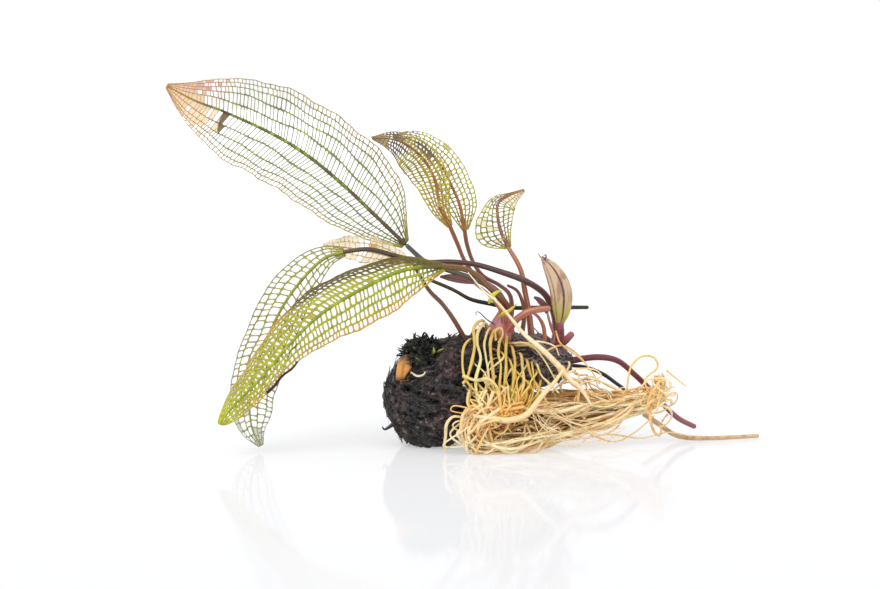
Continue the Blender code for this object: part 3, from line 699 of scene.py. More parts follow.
@dataclass
class LaceLeaf:
    """A skeleton leaf: long veins as tubes, and cells of cross veins between them."""

    name: str
    slot: str
    node: str
    finish: LaceFinish
    rib: tuple[Point, ...]
    face: tuple[Point, Point]
    near: tuple[float, ...]
    far: tuple[float, ...]
    bend: tuple[float, float]
    near_weave: Weave
    far_weave: Weave
    wave: tuple[float, float] = (0.0, 0.0)
    rib_radius: tuple[float, ...] = (1.0, 0.8, 0.3)
    vein_radius: float = 0.3
    lean: float = 0.04
    closed: tuple[float, float] = (0.04, 0.93)
    thickness: float = 0.34
    seed: int = 1
    wander: float = 0.02
    scallop: float = 0.012
    filled: tuple[float, float] = (0.01, 0.01)
    round_tip: float = 0.0
    stains: tuple[tuple[float, float, float, float], ...] = ()
    patches: tuple[tuple[float, float, float, float], ...] = ()
    blushes: tuple[tuple[float, float, float, float], ...] = ()
    dead_edge: tuple[float, float, float] | None = None

    def __post_init__(self) -> None:
        """Work out the midrib's line and its directions once."""
        self.line = even_path(self.rib, 400)
        self.length = float(np.linalg.norm(np.diff(self.line, axis=0), axis=1).sum())
        share = np.linspace(0.0, 1.0, len(self.line))[:, None]
        tangent = unit(np.gradient(self.line, axis=0))
        face = (1 - share) * np.array(self.face[0]) + share * np.array(self.face[1])
        self.facing = unit(face - (face * tangent).sum(1, keepdims=True) * tangent)
        self.side = np.cross(tangent, self.facing)
        self.dice = np.random.default_rng(self.seed)

    def width(self, along: np.ndarray, across: np.ndarray) -> np.ndarray:
        """The half width of the blade on the side that across is on, rounded off at the tip."""
        width = np.where(across < 0, smooth_values(self.near, along), smooth_values(self.far, along))
        if self.round_tip:
            beyond = np.clip((along - 1.0 + self.round_tip) / self.round_tip, 0.0, 1.0)
            width = width * np.sqrt(np.maximum(1.0 - beyond ** 2, 0.01))
        return np.maximum(width, 0.3)

    def drift(self, along: np.ndarray, across: np.ndarray) -> np.ndarray:
        """How far veins wander across the blade: not at all on the midrib and the margins."""
        free = 4.0 * np.abs(across) * (1.0 - np.abs(across))
        swing = (np.sin(17.0 * along + 5.0 * across + self.seed)
                 + 0.5 * np.sin(37.0 * along - 7.0 * across + 2.0 * self.seed))
        return self.wander * free * swing

    def place(self, along: np.ndarray, across: np.ndarray) -> np.ndarray:
        """Points of the blade's middle surface.

        A point is the midrib's point, plus the half width times across to the side. Its
        half is tilted by the bend, more towards the margin, and the margin ripples. Veins
        wander by the drift, and the margin is scalloped.

        Args:
            along: 0 at the stalk to 1 at the tip.
            across: -1 at the near margin, 0 on the midrib, 1 at the far margin.

        Returns:
            Points with 3 on the last axis.
        """
        position = np.clip(along, 0.0, 1.0) * (len(self.line) - 1)
        across = across + self.drift(along, across)

        def read(table: np.ndarray) -> np.ndarray:
            """A table along the midrib, read at each point."""
            return np.stack([np.interp(position, np.arange(len(table)), table[:, axis])
                             for axis in range(3)], axis=-1)

        edge = np.sin(41.0 * along + 2.0 * np.sign(across)) + 0.4 * np.sin(113.0 * along + 1.0)
        reach = np.abs(across) * self.width(along, across) * (1.0 + self.scallop * edge * across ** 4)
        bend = np.radians(np.where(across < 0, self.bend[0], self.bend[1]))
        tilt = bend * (0.4 + 0.6 * np.abs(across))
        height, waves = self.wave
        swing = 2 * math.pi * waves * along + 1.7 * np.sign(across)
        ripple = height * (np.sin(swing) + 0.35 * np.sin(2.7 * swing + 1.0)) * across ** 2
        sideways = np.sign(across) * reach * np.cos(tilt)
        return (read(self.line) + read(self.side) * sideways[..., None]
                + read(self.facing) * (reach * np.sin(tilt) + ripple)[..., None])

    def normal(self, along: np.ndarray, across: np.ndarray) -> np.ndarray:
        """The blade's facing at each point: the cross product of small steps along and across."""
        small = 0.004
        inner = np.clip(along, small, 1.0 - small)
        step_along = self.place(inner + small, across) - self.place(inner - small, across)
        step_across = self.place(inner, across + small) - self.place(inner, across - small)
        return unit(np.cross(step_along, step_across))

    def weave_row(self, half: Half, low: float, high: float, weave: Weave) -> Surface:
        """One row of cells between two long veins, closed on every side.

        Each cell is an outline of 12 points on the veins and a rounded hole of 12 points
        inside it, on both faces of the blade, with walls in the holes. Where a cell is
        shut, its hole is closed by a thin fan.

        Args:
            half: The half of the blade.
            low: The inner vein's place across.
            high: The outer vein's place across.
            weave: How the half is woven.

        Returns:
            The row's surface, with paint along, across, tissue, rib, stain and blush.
        """
        middle = half.value * 0.5 * (low + high)
        cells = max(int(self.length / weave.pitch), 4)
        steps = self.dice.uniform(0.65, 1.35, cells)
        edges = np.concatenate([[0.0], np.cumsum(steps)]) / steps.sum()
        centre = 0.5 * (edges[1:] + edges[:-1])
        half_length = 0.5 * np.diff(edges)
        cell_height = (high - low) * self.width(centre, np.full(cells, middle))
        long_width = weave.long_width * (1.0 - 0.5 * centre)
        cell_length = 2 * half_length * self.length
        chance = self.dice.uniform(0.0, 1.0, cells)
        to_tip = np.clip((centre - 0.45) / 0.35, 0.0, 1.0)
        opening = weave.opening * (1.0 + (weave.tip_opening - 1.0) * to_tip)
        opening = opening * self.dice.uniform(0.88, 1.0, cells)
        wide = np.clip(1.0 - weave.cross_width / cell_length, 0.15, 1.0) * opening
        tall = np.clip(1.0 - long_width / cell_height, 0.15, 1.0) * opening
        shut = (cell_height < 1.25 * long_width) | (centre > self.closed[1] + 0.08 * chance - 0.04)
        shut |= (centre < self.closed[0]) | (self.soft_spots(self.patches, centre, middle) > 0.5)
        shut |= chance < np.interp(centre, (0.76, 0.9), self.filled)
        angle = np.arctan2(CELL_RING[:, 1], CELL_RING[:, 0])
        reach = (np.abs(np.cos(angle)) ** weave.corner
                 + np.abs(np.sin(angle)) ** weave.corner) ** (-1.0 / weave.corner)
        hole = np.stack([reach * np.cos(angle), reach * np.sin(angle)], axis=1)
        # The cells' own places, by cell and by point of the ring.
        ring_along = np.concatenate([np.broadcast_to(CELL_RING[:, 0], (cells, 12)),
                                     wide[:, None] * hole[:, 0], np.zeros((cells, 1))], axis=1)
        ring_across = np.concatenate([np.broadcast_to(CELL_RING[:, 1], (cells, 12)),
                                      tall[:, None] * hole[:, 1], np.zeros((cells, 1))], axis=1)
        along = centre[:, None] + half_length[:, None] * ring_along
        level = 0.5 * (low + high) + 0.5 * (high - low) * ring_across
        along = along + self.lean * level * 4.0 * along * (1.0 - along)
        across = half.value * level
        # Neighbours share the three quarters of the ring that lie on their common cross vein.
        number = np.arange(cells * 25).reshape(cells, 25)
        shared = number.copy()
        shared[1:, [0, 11, 10, 9]] = number[:-1, [3, 4, 5, 6]]
        used, compact = np.unique(shared, return_inverse=True)
        shared = compact.reshape(cells, 25)
        along = along.reshape(-1)[used]
        across = across.reshape(-1)[used]
        kind = np.broadcast_to(np.concatenate([np.zeros(12), np.full(12, 0.55), [1.0]]), (cells, 25))
        kind = kind.reshape(-1)[used]
        is_shut = np.broadcast_to(shut[:, None], (cells, 25)).reshape(-1)[used]
        half_thick = 0.5 * self.thickness * np.where(kind == 0.0, 1.0, np.where(kind == 1.0, 0.35, 0.5))
        places = self.place(along, across)
        lift = self.normal(along, across) * half_thick[:, None]
        total = len(places)
        outer = shared[:, :12]
        inner = shared[:, 12:24]
        next_outer = np.roll(outer, -1, axis=1)
        next_inner = np.roll(inner, -1, axis=1)
        band = np.stack([outer, next_outer, next_inner, inner], axis=-1).reshape(-1, 4)
        wall_top = np.stack([inner, next_inner], axis=-1)[~shut].reshape(-1, 2)
        walls = np.stack([wall_top[:, 0], wall_top[:, 1], wall_top[:, 1] + total,
                          wall_top[:, 0] + total], axis=1)
        hub = np.broadcast_to(shared[:, 24:25], inner.shape)
        fans = np.stack([inner, next_inner, hub], axis=-1)[shut].reshape(-1, 3)
        low_line = np.concatenate([shared[:, [0, 1, 2]].ravel(), shared[-1:, 3]])
        high_line = np.concatenate([shared[:, [9, 8, 7]].ravel(), shared[-1:, 6]])
        start_line = shared[0, [0, 11, 10, 9]]
        end_line = shared[-1, [3, 4, 5, 6]]
        rims = []
        for line, forward in ((low_line, False), (high_line, True), (start_line, True), (end_line, False)):
            a, b = (line[:-1], line[1:]) if forward else (line[1:], line[:-1])
            rims.append(np.stack([a, b, b + total, a + total], axis=1))
        quads = np.concatenate([band, band[:, ::-1] + total, walls, *rims])
        fans = np.concatenate([fans, fans[:, ::-1] + total])
        if half is Half.NEAR:
            quads = quads[:, ::-1]
            fans = fans[:, ::-1]
        tissue = np.where(is_shut, kind, 0.15 * kind)
        paint = {"along": along, "across": across, "tissue": tissue, "rib": np.zeros(total),
                 "stain": self.stained(along, across),
                 "blush": self.soft_spots(self.blushes, along, across)}
        surface = Surface(np.concatenate([places + lift, places - lift]), [quads, fans],
                          {key: np.tile(values, 2) for key, values in paint.items()})
        return without_loose(surface)

    @staticmethod
    def soft_spots(spots: Sequence[tuple[float, float, float, float]], along: np.ndarray,
                   across: np.ndarray | float) -> np.ndarray:
        """The sum of a soft ellipse round each spot: its place along and across, and its sizes."""
        total = np.zeros(np.shape(along))
        for middle, side, length, breadth in spots:
            total = total + np.exp(-((along - middle) / length) ** 2 - ((across - side) / breadth) ** 2)
        return np.clip(total, 0.0, 1.0)

    def stained(self, along: np.ndarray, across: np.ndarray) -> np.ndarray:
        """How stained each place is, by the stains and the filled patches."""
        return self.soft_spots(self.stains + self.patches, along, across)

    def veins(self, half: Half, weave: Weave) -> Surface:
        """The long veins and the margin of one half, as tubes that thin to the tip."""
        count = 150
        share = np.linspace(0.0, 1.0, count)
        levels = np.array(weave.levels[1:])
        along = np.broadcast_to(share, (len(levels), count))
        across = half.value * np.broadcast_to(levels[:, None], along.shape)
        lean = self.lean * np.abs(across) * 4.0 * along * (1.0 - along)
        paths = self.place(along + lean, across)
        knobs = 1.0 + 0.14 * np.sin(211.0 * along + 40.0 * levels[:, None])
        radii = self.vein_radius * (1.15 - 0.6 * share) * (1.0 - 0.25 * levels[:, None]) * knobs
        made = tubes(paths, radii, 5, seed=self.seed)
        return self.painted(made, np.repeat(across[:, 0], count * 5 + 2), 0.5)

    def midrib(self) -> Surface:
        """The thick vein from stalk to tip."""
        count = 200
        share = np.linspace(0.0, 1.0, count)
        radii = smooth_values(self.rib_radius, share) * (1.0 + 0.05 * np.sin(90.0 * share))
        made = tubes(self.place(share, np.zeros(count)), radii, 10, 0.85, seed=self.seed)
        return self.painted(made, np.zeros(len(made.points)), 1.0)

    def painted(self, made: Surface, across: np.ndarray, rib: float, dead: float = 0.0) -> Surface:
        """Give a vein the paint that the lattice has."""
        count = len(made.points)
        made.paint |= {"across": across, "rib": np.full(count, rib), "dead": np.full(count, dead),
                       "stain": self.stained(made.paint["along"], across),
                       "blush": self.soft_spots(self.blushes, made.paint["along"], across)}
        return made

    def dead_strand(self, start: float, end: float, across: float) -> Surface:
        """A black rotted stretch of one edge."""
        share = np.linspace(0.0, 1.0, 30)
        path = self.place(start + (end - start) * share, np.full(30, across))
        path = path + (0.0, -0.5, 0.0) + 0.25 * np.stack([np.sin(9 * share), 0 * share, np.cos(13 * share)], 1)
        made = tubes(path, 0.35 + 0.3 * share, 8, seed=self.seed)
        return self.painted(made, np.full(len(made.points), across), 0.5, 1.0)

    def build(self) -> bpy.types.Object:
        """Weave both halves, add the veins, and dress the leaf."""
        parts = [self.midrib()]
        if self.dead_edge:
            parts.append(self.dead_strand(*self.dead_edge))
        for half, weave in ((Half.NEAR, self.near_weave), (Half.FAR, self.far_weave)):
            parts.append(self.veins(half, weave))
            for low, high in zip(weave.levels[:-1], weave.levels[1:]):
                parts.append(self.weave_row(half, low, high, weave))
        return add_piece(self.name, joined(parts), self.finish.material(), (self.node,))


def without_loose(surface: Surface) -> Surface:
    """Drop the points that no face uses."""
    used = np.unique(np.concatenate([polygons.ravel() for polygons in surface.faces]))
    number = np.zeros(len(surface.points), int)
    number[used] = np.arange(len(used))
    return Surface(surface.points[used], [number[polygons] for polygons in surface.faces],
                   {key: values[used] for key, values in surface.paint.items()})


def lace_leaves() -> list[LaceLeaf]:
    """Every open lace leaf of the plant."""
    green = LaceFinish("green_lace", (0.25, 0.25, 0.17), (0.19, 0.25, 0.02), (0.10, 0.13, 0.006),
                       (0.94, 0.66, 0.36), (0.60, 0.24, 0.04), (0.50, 0.30, 0.11),
                       stain=(0.09, 0.048, 0.018), fleck=(0.44, 0.54, 0.04), dark=(0.07, 0.075, 0.03),
                       blush=(0.66, 0.24, 0.17), tip_start=0.80, tissue_alpha=0.5)
    bright = LaceFinish("bright_lace", (0.40, 0.37, 0.03), (0.38, 0.41, 0.012), (0.24, 0.30, 0.004),
                        (0.44, 0.38, 0.08), (0.54, 0.57, 0.01), (0.70, 0.34, 0.04),
                        stain=(0.10, 0.072, 0.010), fleck=(0.54, 0.58, 0.02), dark=(0.17, 0.12, 0.01),
                        tip_start=0.86, margin_share=0.85)
    grey = LaceFinish("grey_lace", (0.38, 0.34, 0.12), (0.34, 0.36, 0.05), (0.30, 0.33, 0.02),
                      (0.50, 0.52, 0.34), (0.34, 0.36, 0.20), (0.24, 0.23, 0.12),
                      fleck=(0.48, 0.50, 0.07), dark=(0.12, 0.11, 0.05), tip_start=0.86,
                      tissue_alpha=0.4)
    golden = LaceFinish("golden_lace", (0.44, 0.37, 0.04), (0.38, 0.22, 0.03), (0.30, 0.10, 0.015),
                        (0.50, 0.42, 0.14), (0.17, 0.10, 0.07), (0.55, 0.43, 0.04),
                        stain=(0.13, 0.09, 0.06), fleck=(0.58, 0.54, 0.05), dark=(0.15, 0.08, 0.02),
                        tip_start=0.68)
    tall = LaceFinish("tall_golden_lace", (0.44, 0.45, 0.06), (0.38, 0.24, 0.04), (0.32, 0.11, 0.02),
                      (0.56, 0.50, 0.22), (0.15, 0.12, 0.09), (0.52, 0.54, 0.06),
                      fleck=(0.56, 0.56, 0.07), dark=(0.14, 0.09, 0.025), tip_start=0.74)
    small = LaceFinish("small_golden_lace", (0.30, 0.31, 0.06), (0.24, 0.14, 0.09), (0.26, 0.11, 0.08),
                       (0.86, 0.76, 0.44), (0.46, 0.22, 0.06), (0.52, 0.52, 0.05),
                       fleck=(0.48, 0.50, 0.05), dark=(0.12, 0.09, 0.04), tip_start=0.72,
                       tissue_alpha=0.45)
    faded = LaceFinish("faded_lace", (0.66, 0.50, 0.24), (0.64, 0.46, 0.14), (0.52, 0.30, 0.07),
                       (0.97, 0.82, 0.54), (0.88, 0.64, 0.38), (0.80, 0.58, 0.22),
                       stain=(0.80, 0.36, 0.07), fleck=(0.66, 0.60, 0.12), dark=(0.42, 0.27, 0.25),
                       tip_start=0.9, tissue_alpha=0.45)
    upper_levels = (0.0, 0.31, 0.56, 0.75, 0.89, 1.0)
    return [
        LaceLeaf("upper_leaf", "green_lace", "upper_leaf_blade", green,
                 ((-8, 8, 80), (-21, 13, 92), (-32, 18, 102), (-47, 24, 114), (-62, 29, 123),
                  (-82, 33, 132), (-95, 33, 137), (-106, 31, 143)),
                 ((0.0, -1.0, 0.1), (0.0, -1.0, 0.1)),
                 (2.0, 10.5, 15.5, 17.5, 18.5, 18.6, 17.5, 11.0, 1.0),
                 (2.0, 15.0, 20.0, 20.5, 20.2, 19.5, 16.0, 10.0, 1.0), (8.0, 8.0),
                 Weave(upper_levels, 1.75, 1.0, 0.22, 0.3, 9.0), Weave(upper_levels, 1.75, 1.0, 0.22, 0.3, 9.0),
                 (0.6, 2.5), (1.0, 0.9, 0.85, 0.65, 0.3), 0.3, 0.06, (0.02, 0.9), 0.24, seed=11,
                 wander=0.034, scallop=0.02, filled=(0.0, 1.0), blushes=((0.86, 0.7, 0.08, 0.4),),
                 patches=((0.782, -0.18, 0.012, 0.22), (0.772, -0.44, 0.012, 0.18), (0.775, 0.16, 0.007, 0.12),
                          (0.745, 0.34, 0.006, 0.1), (0.76, 0.66, 0.006, 0.1)),
                 stains=((0.78, 0.0, 0.02, 0.1), (0.03, 0.35, 0.03, 0.2), (0.02, -0.4, 0.03, 0.2),
                         (0.36, 0.0, 0.02, 0.08), (0.05, 0.0, 0.14, 0.04), (0.24, 0.0, 0.02, 0.03))),
        LaceLeaf("front_leaf", "bright_lace", "front_leaf_blade", bright,
                 ((8, -9, 73), (-8, -14, 72), (-23, -20, 66), (-39, -26, 57), (-52, -30, 45),
                  (-64, -32, 31), (-73, -31, 22), (-80, -29, 13.5)),
                 ((0.0, -0.9, 0.4), (-0.3, -0.9, 0.3)),
                 (1.5, 10.0, 13.5, 13.5, 11.0, 7.5, 6.0, 5.5, 4.0),
                 (1.5, 10.5, 16.0, 19.0, 20.0, 19.5, 17.5, 13.0, 5.0), (-15.0, -42.0),
                 Weave((0.0, 0.3, 0.57, 0.8, 1.0), 2.0, 0.95, 0.46, 0.46, 5.0, 0.74),
                 Weave((0.0, 0.18, 0.36, 0.53, 0.7, 0.86, 1.0), 2.1, 0.9, 0.56, 0.56, 4.4, 0.76),
                 (0.5, 2.0), (1.0, 0.9, 0.65, 0.45), 0.38, 0.05, (0.02, 0.985), 0.45, seed=12,
                 wander=0.035, scallop=0.02, round_tip=0.09,
                 stains=((0.15, 0.65, 0.24, 0.45), (0.0, 0.0, 0.10, 0.7), (0.4, 0.85, 0.16, 0.3),
                         (0.62, -0.3, 0.02, 0.1)),
                 dead_edge=(0.655, 0.80, -1.0)),
        LaceLeaf("back_leaf", "grey_lace", "back_leaf_blade", grey,
                 ((-32, -3, 78), (-40, -4, 75.5), (-48.5, -5, 67.5), (-56.5, -6, 56.5), (-63.5, -8, 42),
                  (-67.5, -10, 30), (-69.5, -12, 19), (-68.5, -14, 9), (-65, -15, 2)),
                 ((0.1, -1.0, 0.3), (0.0, -1.0, 0.1)),
                 (1.5, 5.0, 8.0, 9.6, 10.5, 10.5, 9.5, 8.0, 1.0),
                 (1.5, 6.5, 9.0, 9.5, 9.0, 9.0, 8.5, 6.5, 1.0), (-10.0, -12.0),
                 Weave((0.0, 0.36, 0.7, 1.0), 2.9, 1.0, 0.36, 0.36, 5.0),
                 Weave((0.0, 0.4, 0.75, 1.0), 2.6, 1.0, 0.34, 0.34, 5.0),
                 (0.3, 2.0), (0.85, 0.7, 0.55, 0.35), 0.28, 0.05, (0.03, 0.95), 0.3, seed=13,
                 wander=0.04, filled=(0.0, 0.1)),
        LaceLeaf("arching_leaf", "golden_lace", "arching_leaf_blade", golden,
                 ((10, 12, 87), (6, 14, 95), (4, 16, 105), (0, 17, 113), (-5, 14, 118),
                  (-12, 8, 122), (-21, 2, 123)),
                 ((0.2, -1.0, 0.0), (0.0, -1.0, 0.6)),
                 (1.0, 4.5, 8.0, 9.5, 9.0, 6.0, 0.8), (1.0, 4.0, 6.0, 6.0, 5.0, 3.5, 0.8),
                 (-10.0, -10.0),
                 Weave((0.0, 0.25, 0.5, 0.75, 1.0), 1.6, 0.92, 0.4, 0.44),
                 Weave((0.0, 0.34, 0.67, 1.0), 1.6, 0.92, 0.4, 0.44),
                 (0.3, 1.5), (0.85, 0.7, 0.5, 0.3), 0.32, 0.04, (0.03, 0.86), 0.38, seed=14,
                 wander=0.03, stains=((0.55, 0.6, 0.12, 0.4), (0.75, -0.3, 0.1, 0.3))),
        LaceLeaf("tall_leaf", "golden_lace", "tall_leaf_blade", tall,
                 ((16, 16, 85), (14, 19, 95), (11, 22, 102), (7, 24, 110), (2, 24, 116),
                  (-5, 21, 121), (-13, 17, 123)),
                 ((-0.2, -1.0, 0.0), (0.0, -1.0, 0.5)),
                 (1.0, 5.0, 7.0, 7.5, 6.5, 4.0, 0.8), (1.6, 6.5, 8.0, 8.0, 7.0, 4.6, 0.8),
                 (-8.0, -14.0),
                 Weave((0.0, 0.34, 0.67, 1.0), 1.9, 1.0, 0.34, 0.36, 4.0),
                 Weave((0.0, 0.28, 0.54, 0.78, 1.0), 1.9, 1.0, 0.34, 0.36, 4.0),
                 (0.3, 1.5), (0.9, 0.7, 0.5, 0.25), 0.3, 0.04, (0.03, 0.9), 0.32, seed=15,
                 wander=0.03),
        LaceLeaf("small_leaf", "golden_lace", "small_leaf_blade", small,
                 ((33.4, 5, 79), (30.6, 5, 85), (29.2, 6, 91), (29.4, 8, 96.5), (34, 11, 99.5),
                  (40, 13, 101.5)),
                 ((0.0, -1.0, 0.0), (0.0, -1.0, 0.4)),
                 (1.5, 9.8, 8.6, 3.4, 1.0, 0.5), (1.2, 4.0, 6.2, 7.2, 4.6, 0.7), (12.0, 12.0),
                 Weave((0.0, 0.28, 0.52, 0.76, 1.0), 1.6, 0.95, 0.3, 0.32, 5.0),
                 Weave((0.0, 0.38, 0.7, 1.0), 1.6, 0.95, 0.3, 0.32, 5.0),
                 (0.0, 1.0), (0.9, 0.75, 0.6, 0.3), 0.28, 0.04, (0.04, 0.66), 0.3, seed=16,
                 filled=(0.3, 1.0)),
        LaceLeaf("faded_leaf", "faded_leaf", "faded_leaf_blade", faded,
                 ((-5, 2, 73), (-12, 3, 75), (-20, 4, 77), (-32, 5, 79), (-41, 5, 80)),
                 ((0.0, -1.0, 0.2), (0.0, -1.0, 0.2)),
                 (0.8, 4.0, 5.0, 4.0, 0.7), (0.8, 4.5, 6.0, 4.5, 0.7), (10.0, 10.0),
                 Weave((0.0, 0.5, 1.0), 2.0, 1.0, 0.22, 0.24, 5.0),
                 Weave((0.0, 0.5, 1.0), 2.0, 1.0, 0.22, 0.24, 5.0),
                 (0.9, 2.5), (0.5, 0.4, 0.2), 0.18, 0.04, (0.5, 0.6), 0.24, seed=17, scallop=0.07,
                 stains=((0.2, -0.5, 0.1, 0.4), (0.45, 0.3, 0.05, 0.3))),
    ]


# The tuber, its hairs and its moss.


@dataclass
class Tuber:
    """The club-shaped rhizome: a lumpy, fibrous skin with hairs lying on it."""

    stations: tuple[Point, ...] = (
        (-16.6, 19.5, 3.0), (-14.8, 19.4, 8.2), (-10.6, 18.8, 14.4), (-4.0, 18.2, 19.2),
        (4.0, 19.3, 20.8), (11.0, 21.2, 20.8), (17.0, 24.6, 19.2), (22.0, 28.6, 16.4),
        (30.0, 31.8, 13.0), (40.0, 33.0, 10.6), (48.0, 33.2, 9.0), (55.0, 33.4, 6.6),
        (59.0, 33.4, 2.6))
    depth: float = 0.9
    rows: int = 260
    sides: int = 300
    hairs: int = 2300
    strings: int = 420
    dents: tuple[tuple[float, float, float, float, float], ...] = (
        (-15.0, -2.0, 33.0, 9.0, 3.0), (-17.0, -4.0, 14.5, 3.0, 1.4), (-16.0, -9.0, 22.0, 4.5, -1.6),
        (-3.0, -20.0, 24.0, 3.5, 1.6), (2.0, -20.0, 12.0, 4.0, -1.5), (8.0, -20.0, 30.0, 4.0, -1.4),
        (-9.0, -16.0, 9.0, 3.0, 1.4), (10.0, -22.0, 20.0, 3.0, 1.6))
    cut_middle: Point = (-8.8, -12.0, 32.0)
    cut_reach: Point = (3.4, 6.0, 5.0)
    clearance: float = 0.05

    def relief(self, along: np.ndarray, turn: np.ndarray) -> tuple[np.ndarray, np.ndarray]:
        """The smooth ring's points, and how far the skin stands out from them.

        Broad lumps, small lumps, and sharp lengthwise ridges that are one less the size of
        a lumpiness, less the dents. A dent has its place, its reach and its depth, and one
        with a depth below 0 is a knob.
        """
        x, middle, half = np.moveaxis(smooth_values(self.stations, along), -1, 0)
        half = np.maximum(half, 1.0)
        ring = np.stack([x, self.depth * half * np.cos(turn), middle + half * np.sin(turn)], axis=-1)
        ridges = 1.0 - 2.2 * np.abs(lumps(ring * (0.5, 1.0, 1.0), 4.0, 5, 3))
        scales = 1.0 - 2.2 * np.abs(lumps(ring, 9.0, 7, 3))
        out = 1.3 * lumps(ring, 19.0, 3) + 1.1 * lumps(ring, 5.0, 4) + 1.0 * ridges + 0.4 * scales
        for x, y, z, reach, depth in self.dents:
            out = out - depth * np.exp(-(np.linalg.norm(ring - (x, y, z), axis=-1) / reach) ** 2)
        return ring, np.minimum(1.0, half / 12.0) * out - 0.5

    def place(self, along: np.ndarray, turn: np.ndarray) -> np.ndarray:
        """Points of the skin: the ring moved outwards by the relief, and held off the ground.

        Args:
            along: 0 at the thick end to 1 at the neck's end.
            turn: Radians round the ring.

        Returns:
            Points with 3 on the last axis.
        """
        ring, out = self.relief(along, turn)
        away = np.stack([0 * out, self.depth * np.cos(turn) + 0 * out, np.sin(turn) + 0 * out], axis=-1)
        skin = ring + away * out[..., None]
        skin[..., 2] = np.maximum(skin[..., 2], self.clearance)
        return skin

    def skin(self) -> Surface:
        """The whole skin, closed by a point at each end, with its heights, which the bark turns into painted shade
        in the hollows, and the cut painted.
        """
        along = np.linspace(0.0, 1.0, self.rows)
        along = along + 0.06 * np.sin(2 * math.pi * along)
        turn = np.linspace(0.0, 2 * math.pi, self.sides, endpoint=False)
        grid = np.broadcast_arrays(along[:, None], turn)
        rings = self.place(*grid)
        poles = rings[[0, -1]].mean(1) + ((-0.8, 0, 0), (0.8, 0, 0))
        points, faces = closed_rings(rings, poles)
        away = (points - self.cut_middle) / self.cut_reach
        cut = np.clip(1.5 - np.linalg.norm(away, axis=1), 0.0, 1.0)
        # How raised each point is; the bark paints shade into the low ones.
        raised = np.concatenate([np.clip(0.5 + 0.45 * self.relief(*grid)[1].ravel(), 0, 1), [0.5, 0.5]])
        return Surface(points, faces, {"cut": cut, "raised": raised})

    def fibres(self, count: int, steps: int, reaches: tuple[float, float], thick: float,
               rise: float, seed: int) -> Surface:
        """Dead fibres that lie on the skin, wave, and lift at their ends.

        Args:
            count: How many there are.
            steps: Points along each.
            reaches: The least and most share of the tuber that one runs along.
            thick: The most that the random part adds to the radius.
            rise: How high the most raised end stands.
            seed: Which random set to draw.

        Returns:
            The fibres as one surface.
        """
        dice = np.random.default_rng(seed)
        along = dice.uniform(0.02, 0.95, count)[:, None]
        turn = dice.uniform(0.0, 2 * math.pi, count)[:, None]
        share = np.linspace(0.0, 1.0, steps)
        heading = dice.uniform(-1.0, 1.0, (count, 2))
        reach = dice.uniform(*reaches, (count, 1))
        path_along = np.clip(along + reach * heading[:, :1] * share, 0.0, 1.0)
        sway = dice.uniform(-0.12, 0.12, (count, 1)) * np.sin(4.0 * share)
        path_turn = turn + 3.2 * reach * heading[:, 1:] * share + sway
        paths = self.place(path_along, path_turn)
        middle = smooth_values(self.stations, path_along)[..., 1]
        centre = np.stack([paths[..., 0], np.zeros_like(middle), middle], axis=-1)
        lift = dice.uniform(0.0, 1.0, (count, 1)) ** 3 * rise * share ** 2 + 0.15
        paths = paths + unit(paths - centre) * lift[..., None]
        paths[..., 2] = np.maximum(paths[..., 2], 0.5)
        radii = (0.09 + thick * dice.uniform(0.0, 1.0, (count, 1)) ** 2) * (1.0 - 0.6 * share)
        return tubes(paths, radii, 4, seed=seed)

    def build(self) -> None:
        """Make the skin and the hairs."""
        add_piece("tuber_skin", self.skin(), BarkFinish().material(), ("tuber",))
        # The pale share of the hairs is partly pale fibre and partly painted highlight on the wet skin.
        hairs = FibreFinish("tuber_hair", (0.016, 0.010, 0.010), (0.27, 0.22, 0.21), 0.28)
        fine = self.fibres(self.hairs, 6, (0.03, 0.12), 0.36, 3.6, 21)
        coarse = self.fibres(self.strings, 14, (0.10, 0.3), 0.6, 2.6, 23)
        add_piece("tuber_hairs", joined([fine, coarse]), hairs.material(), ())


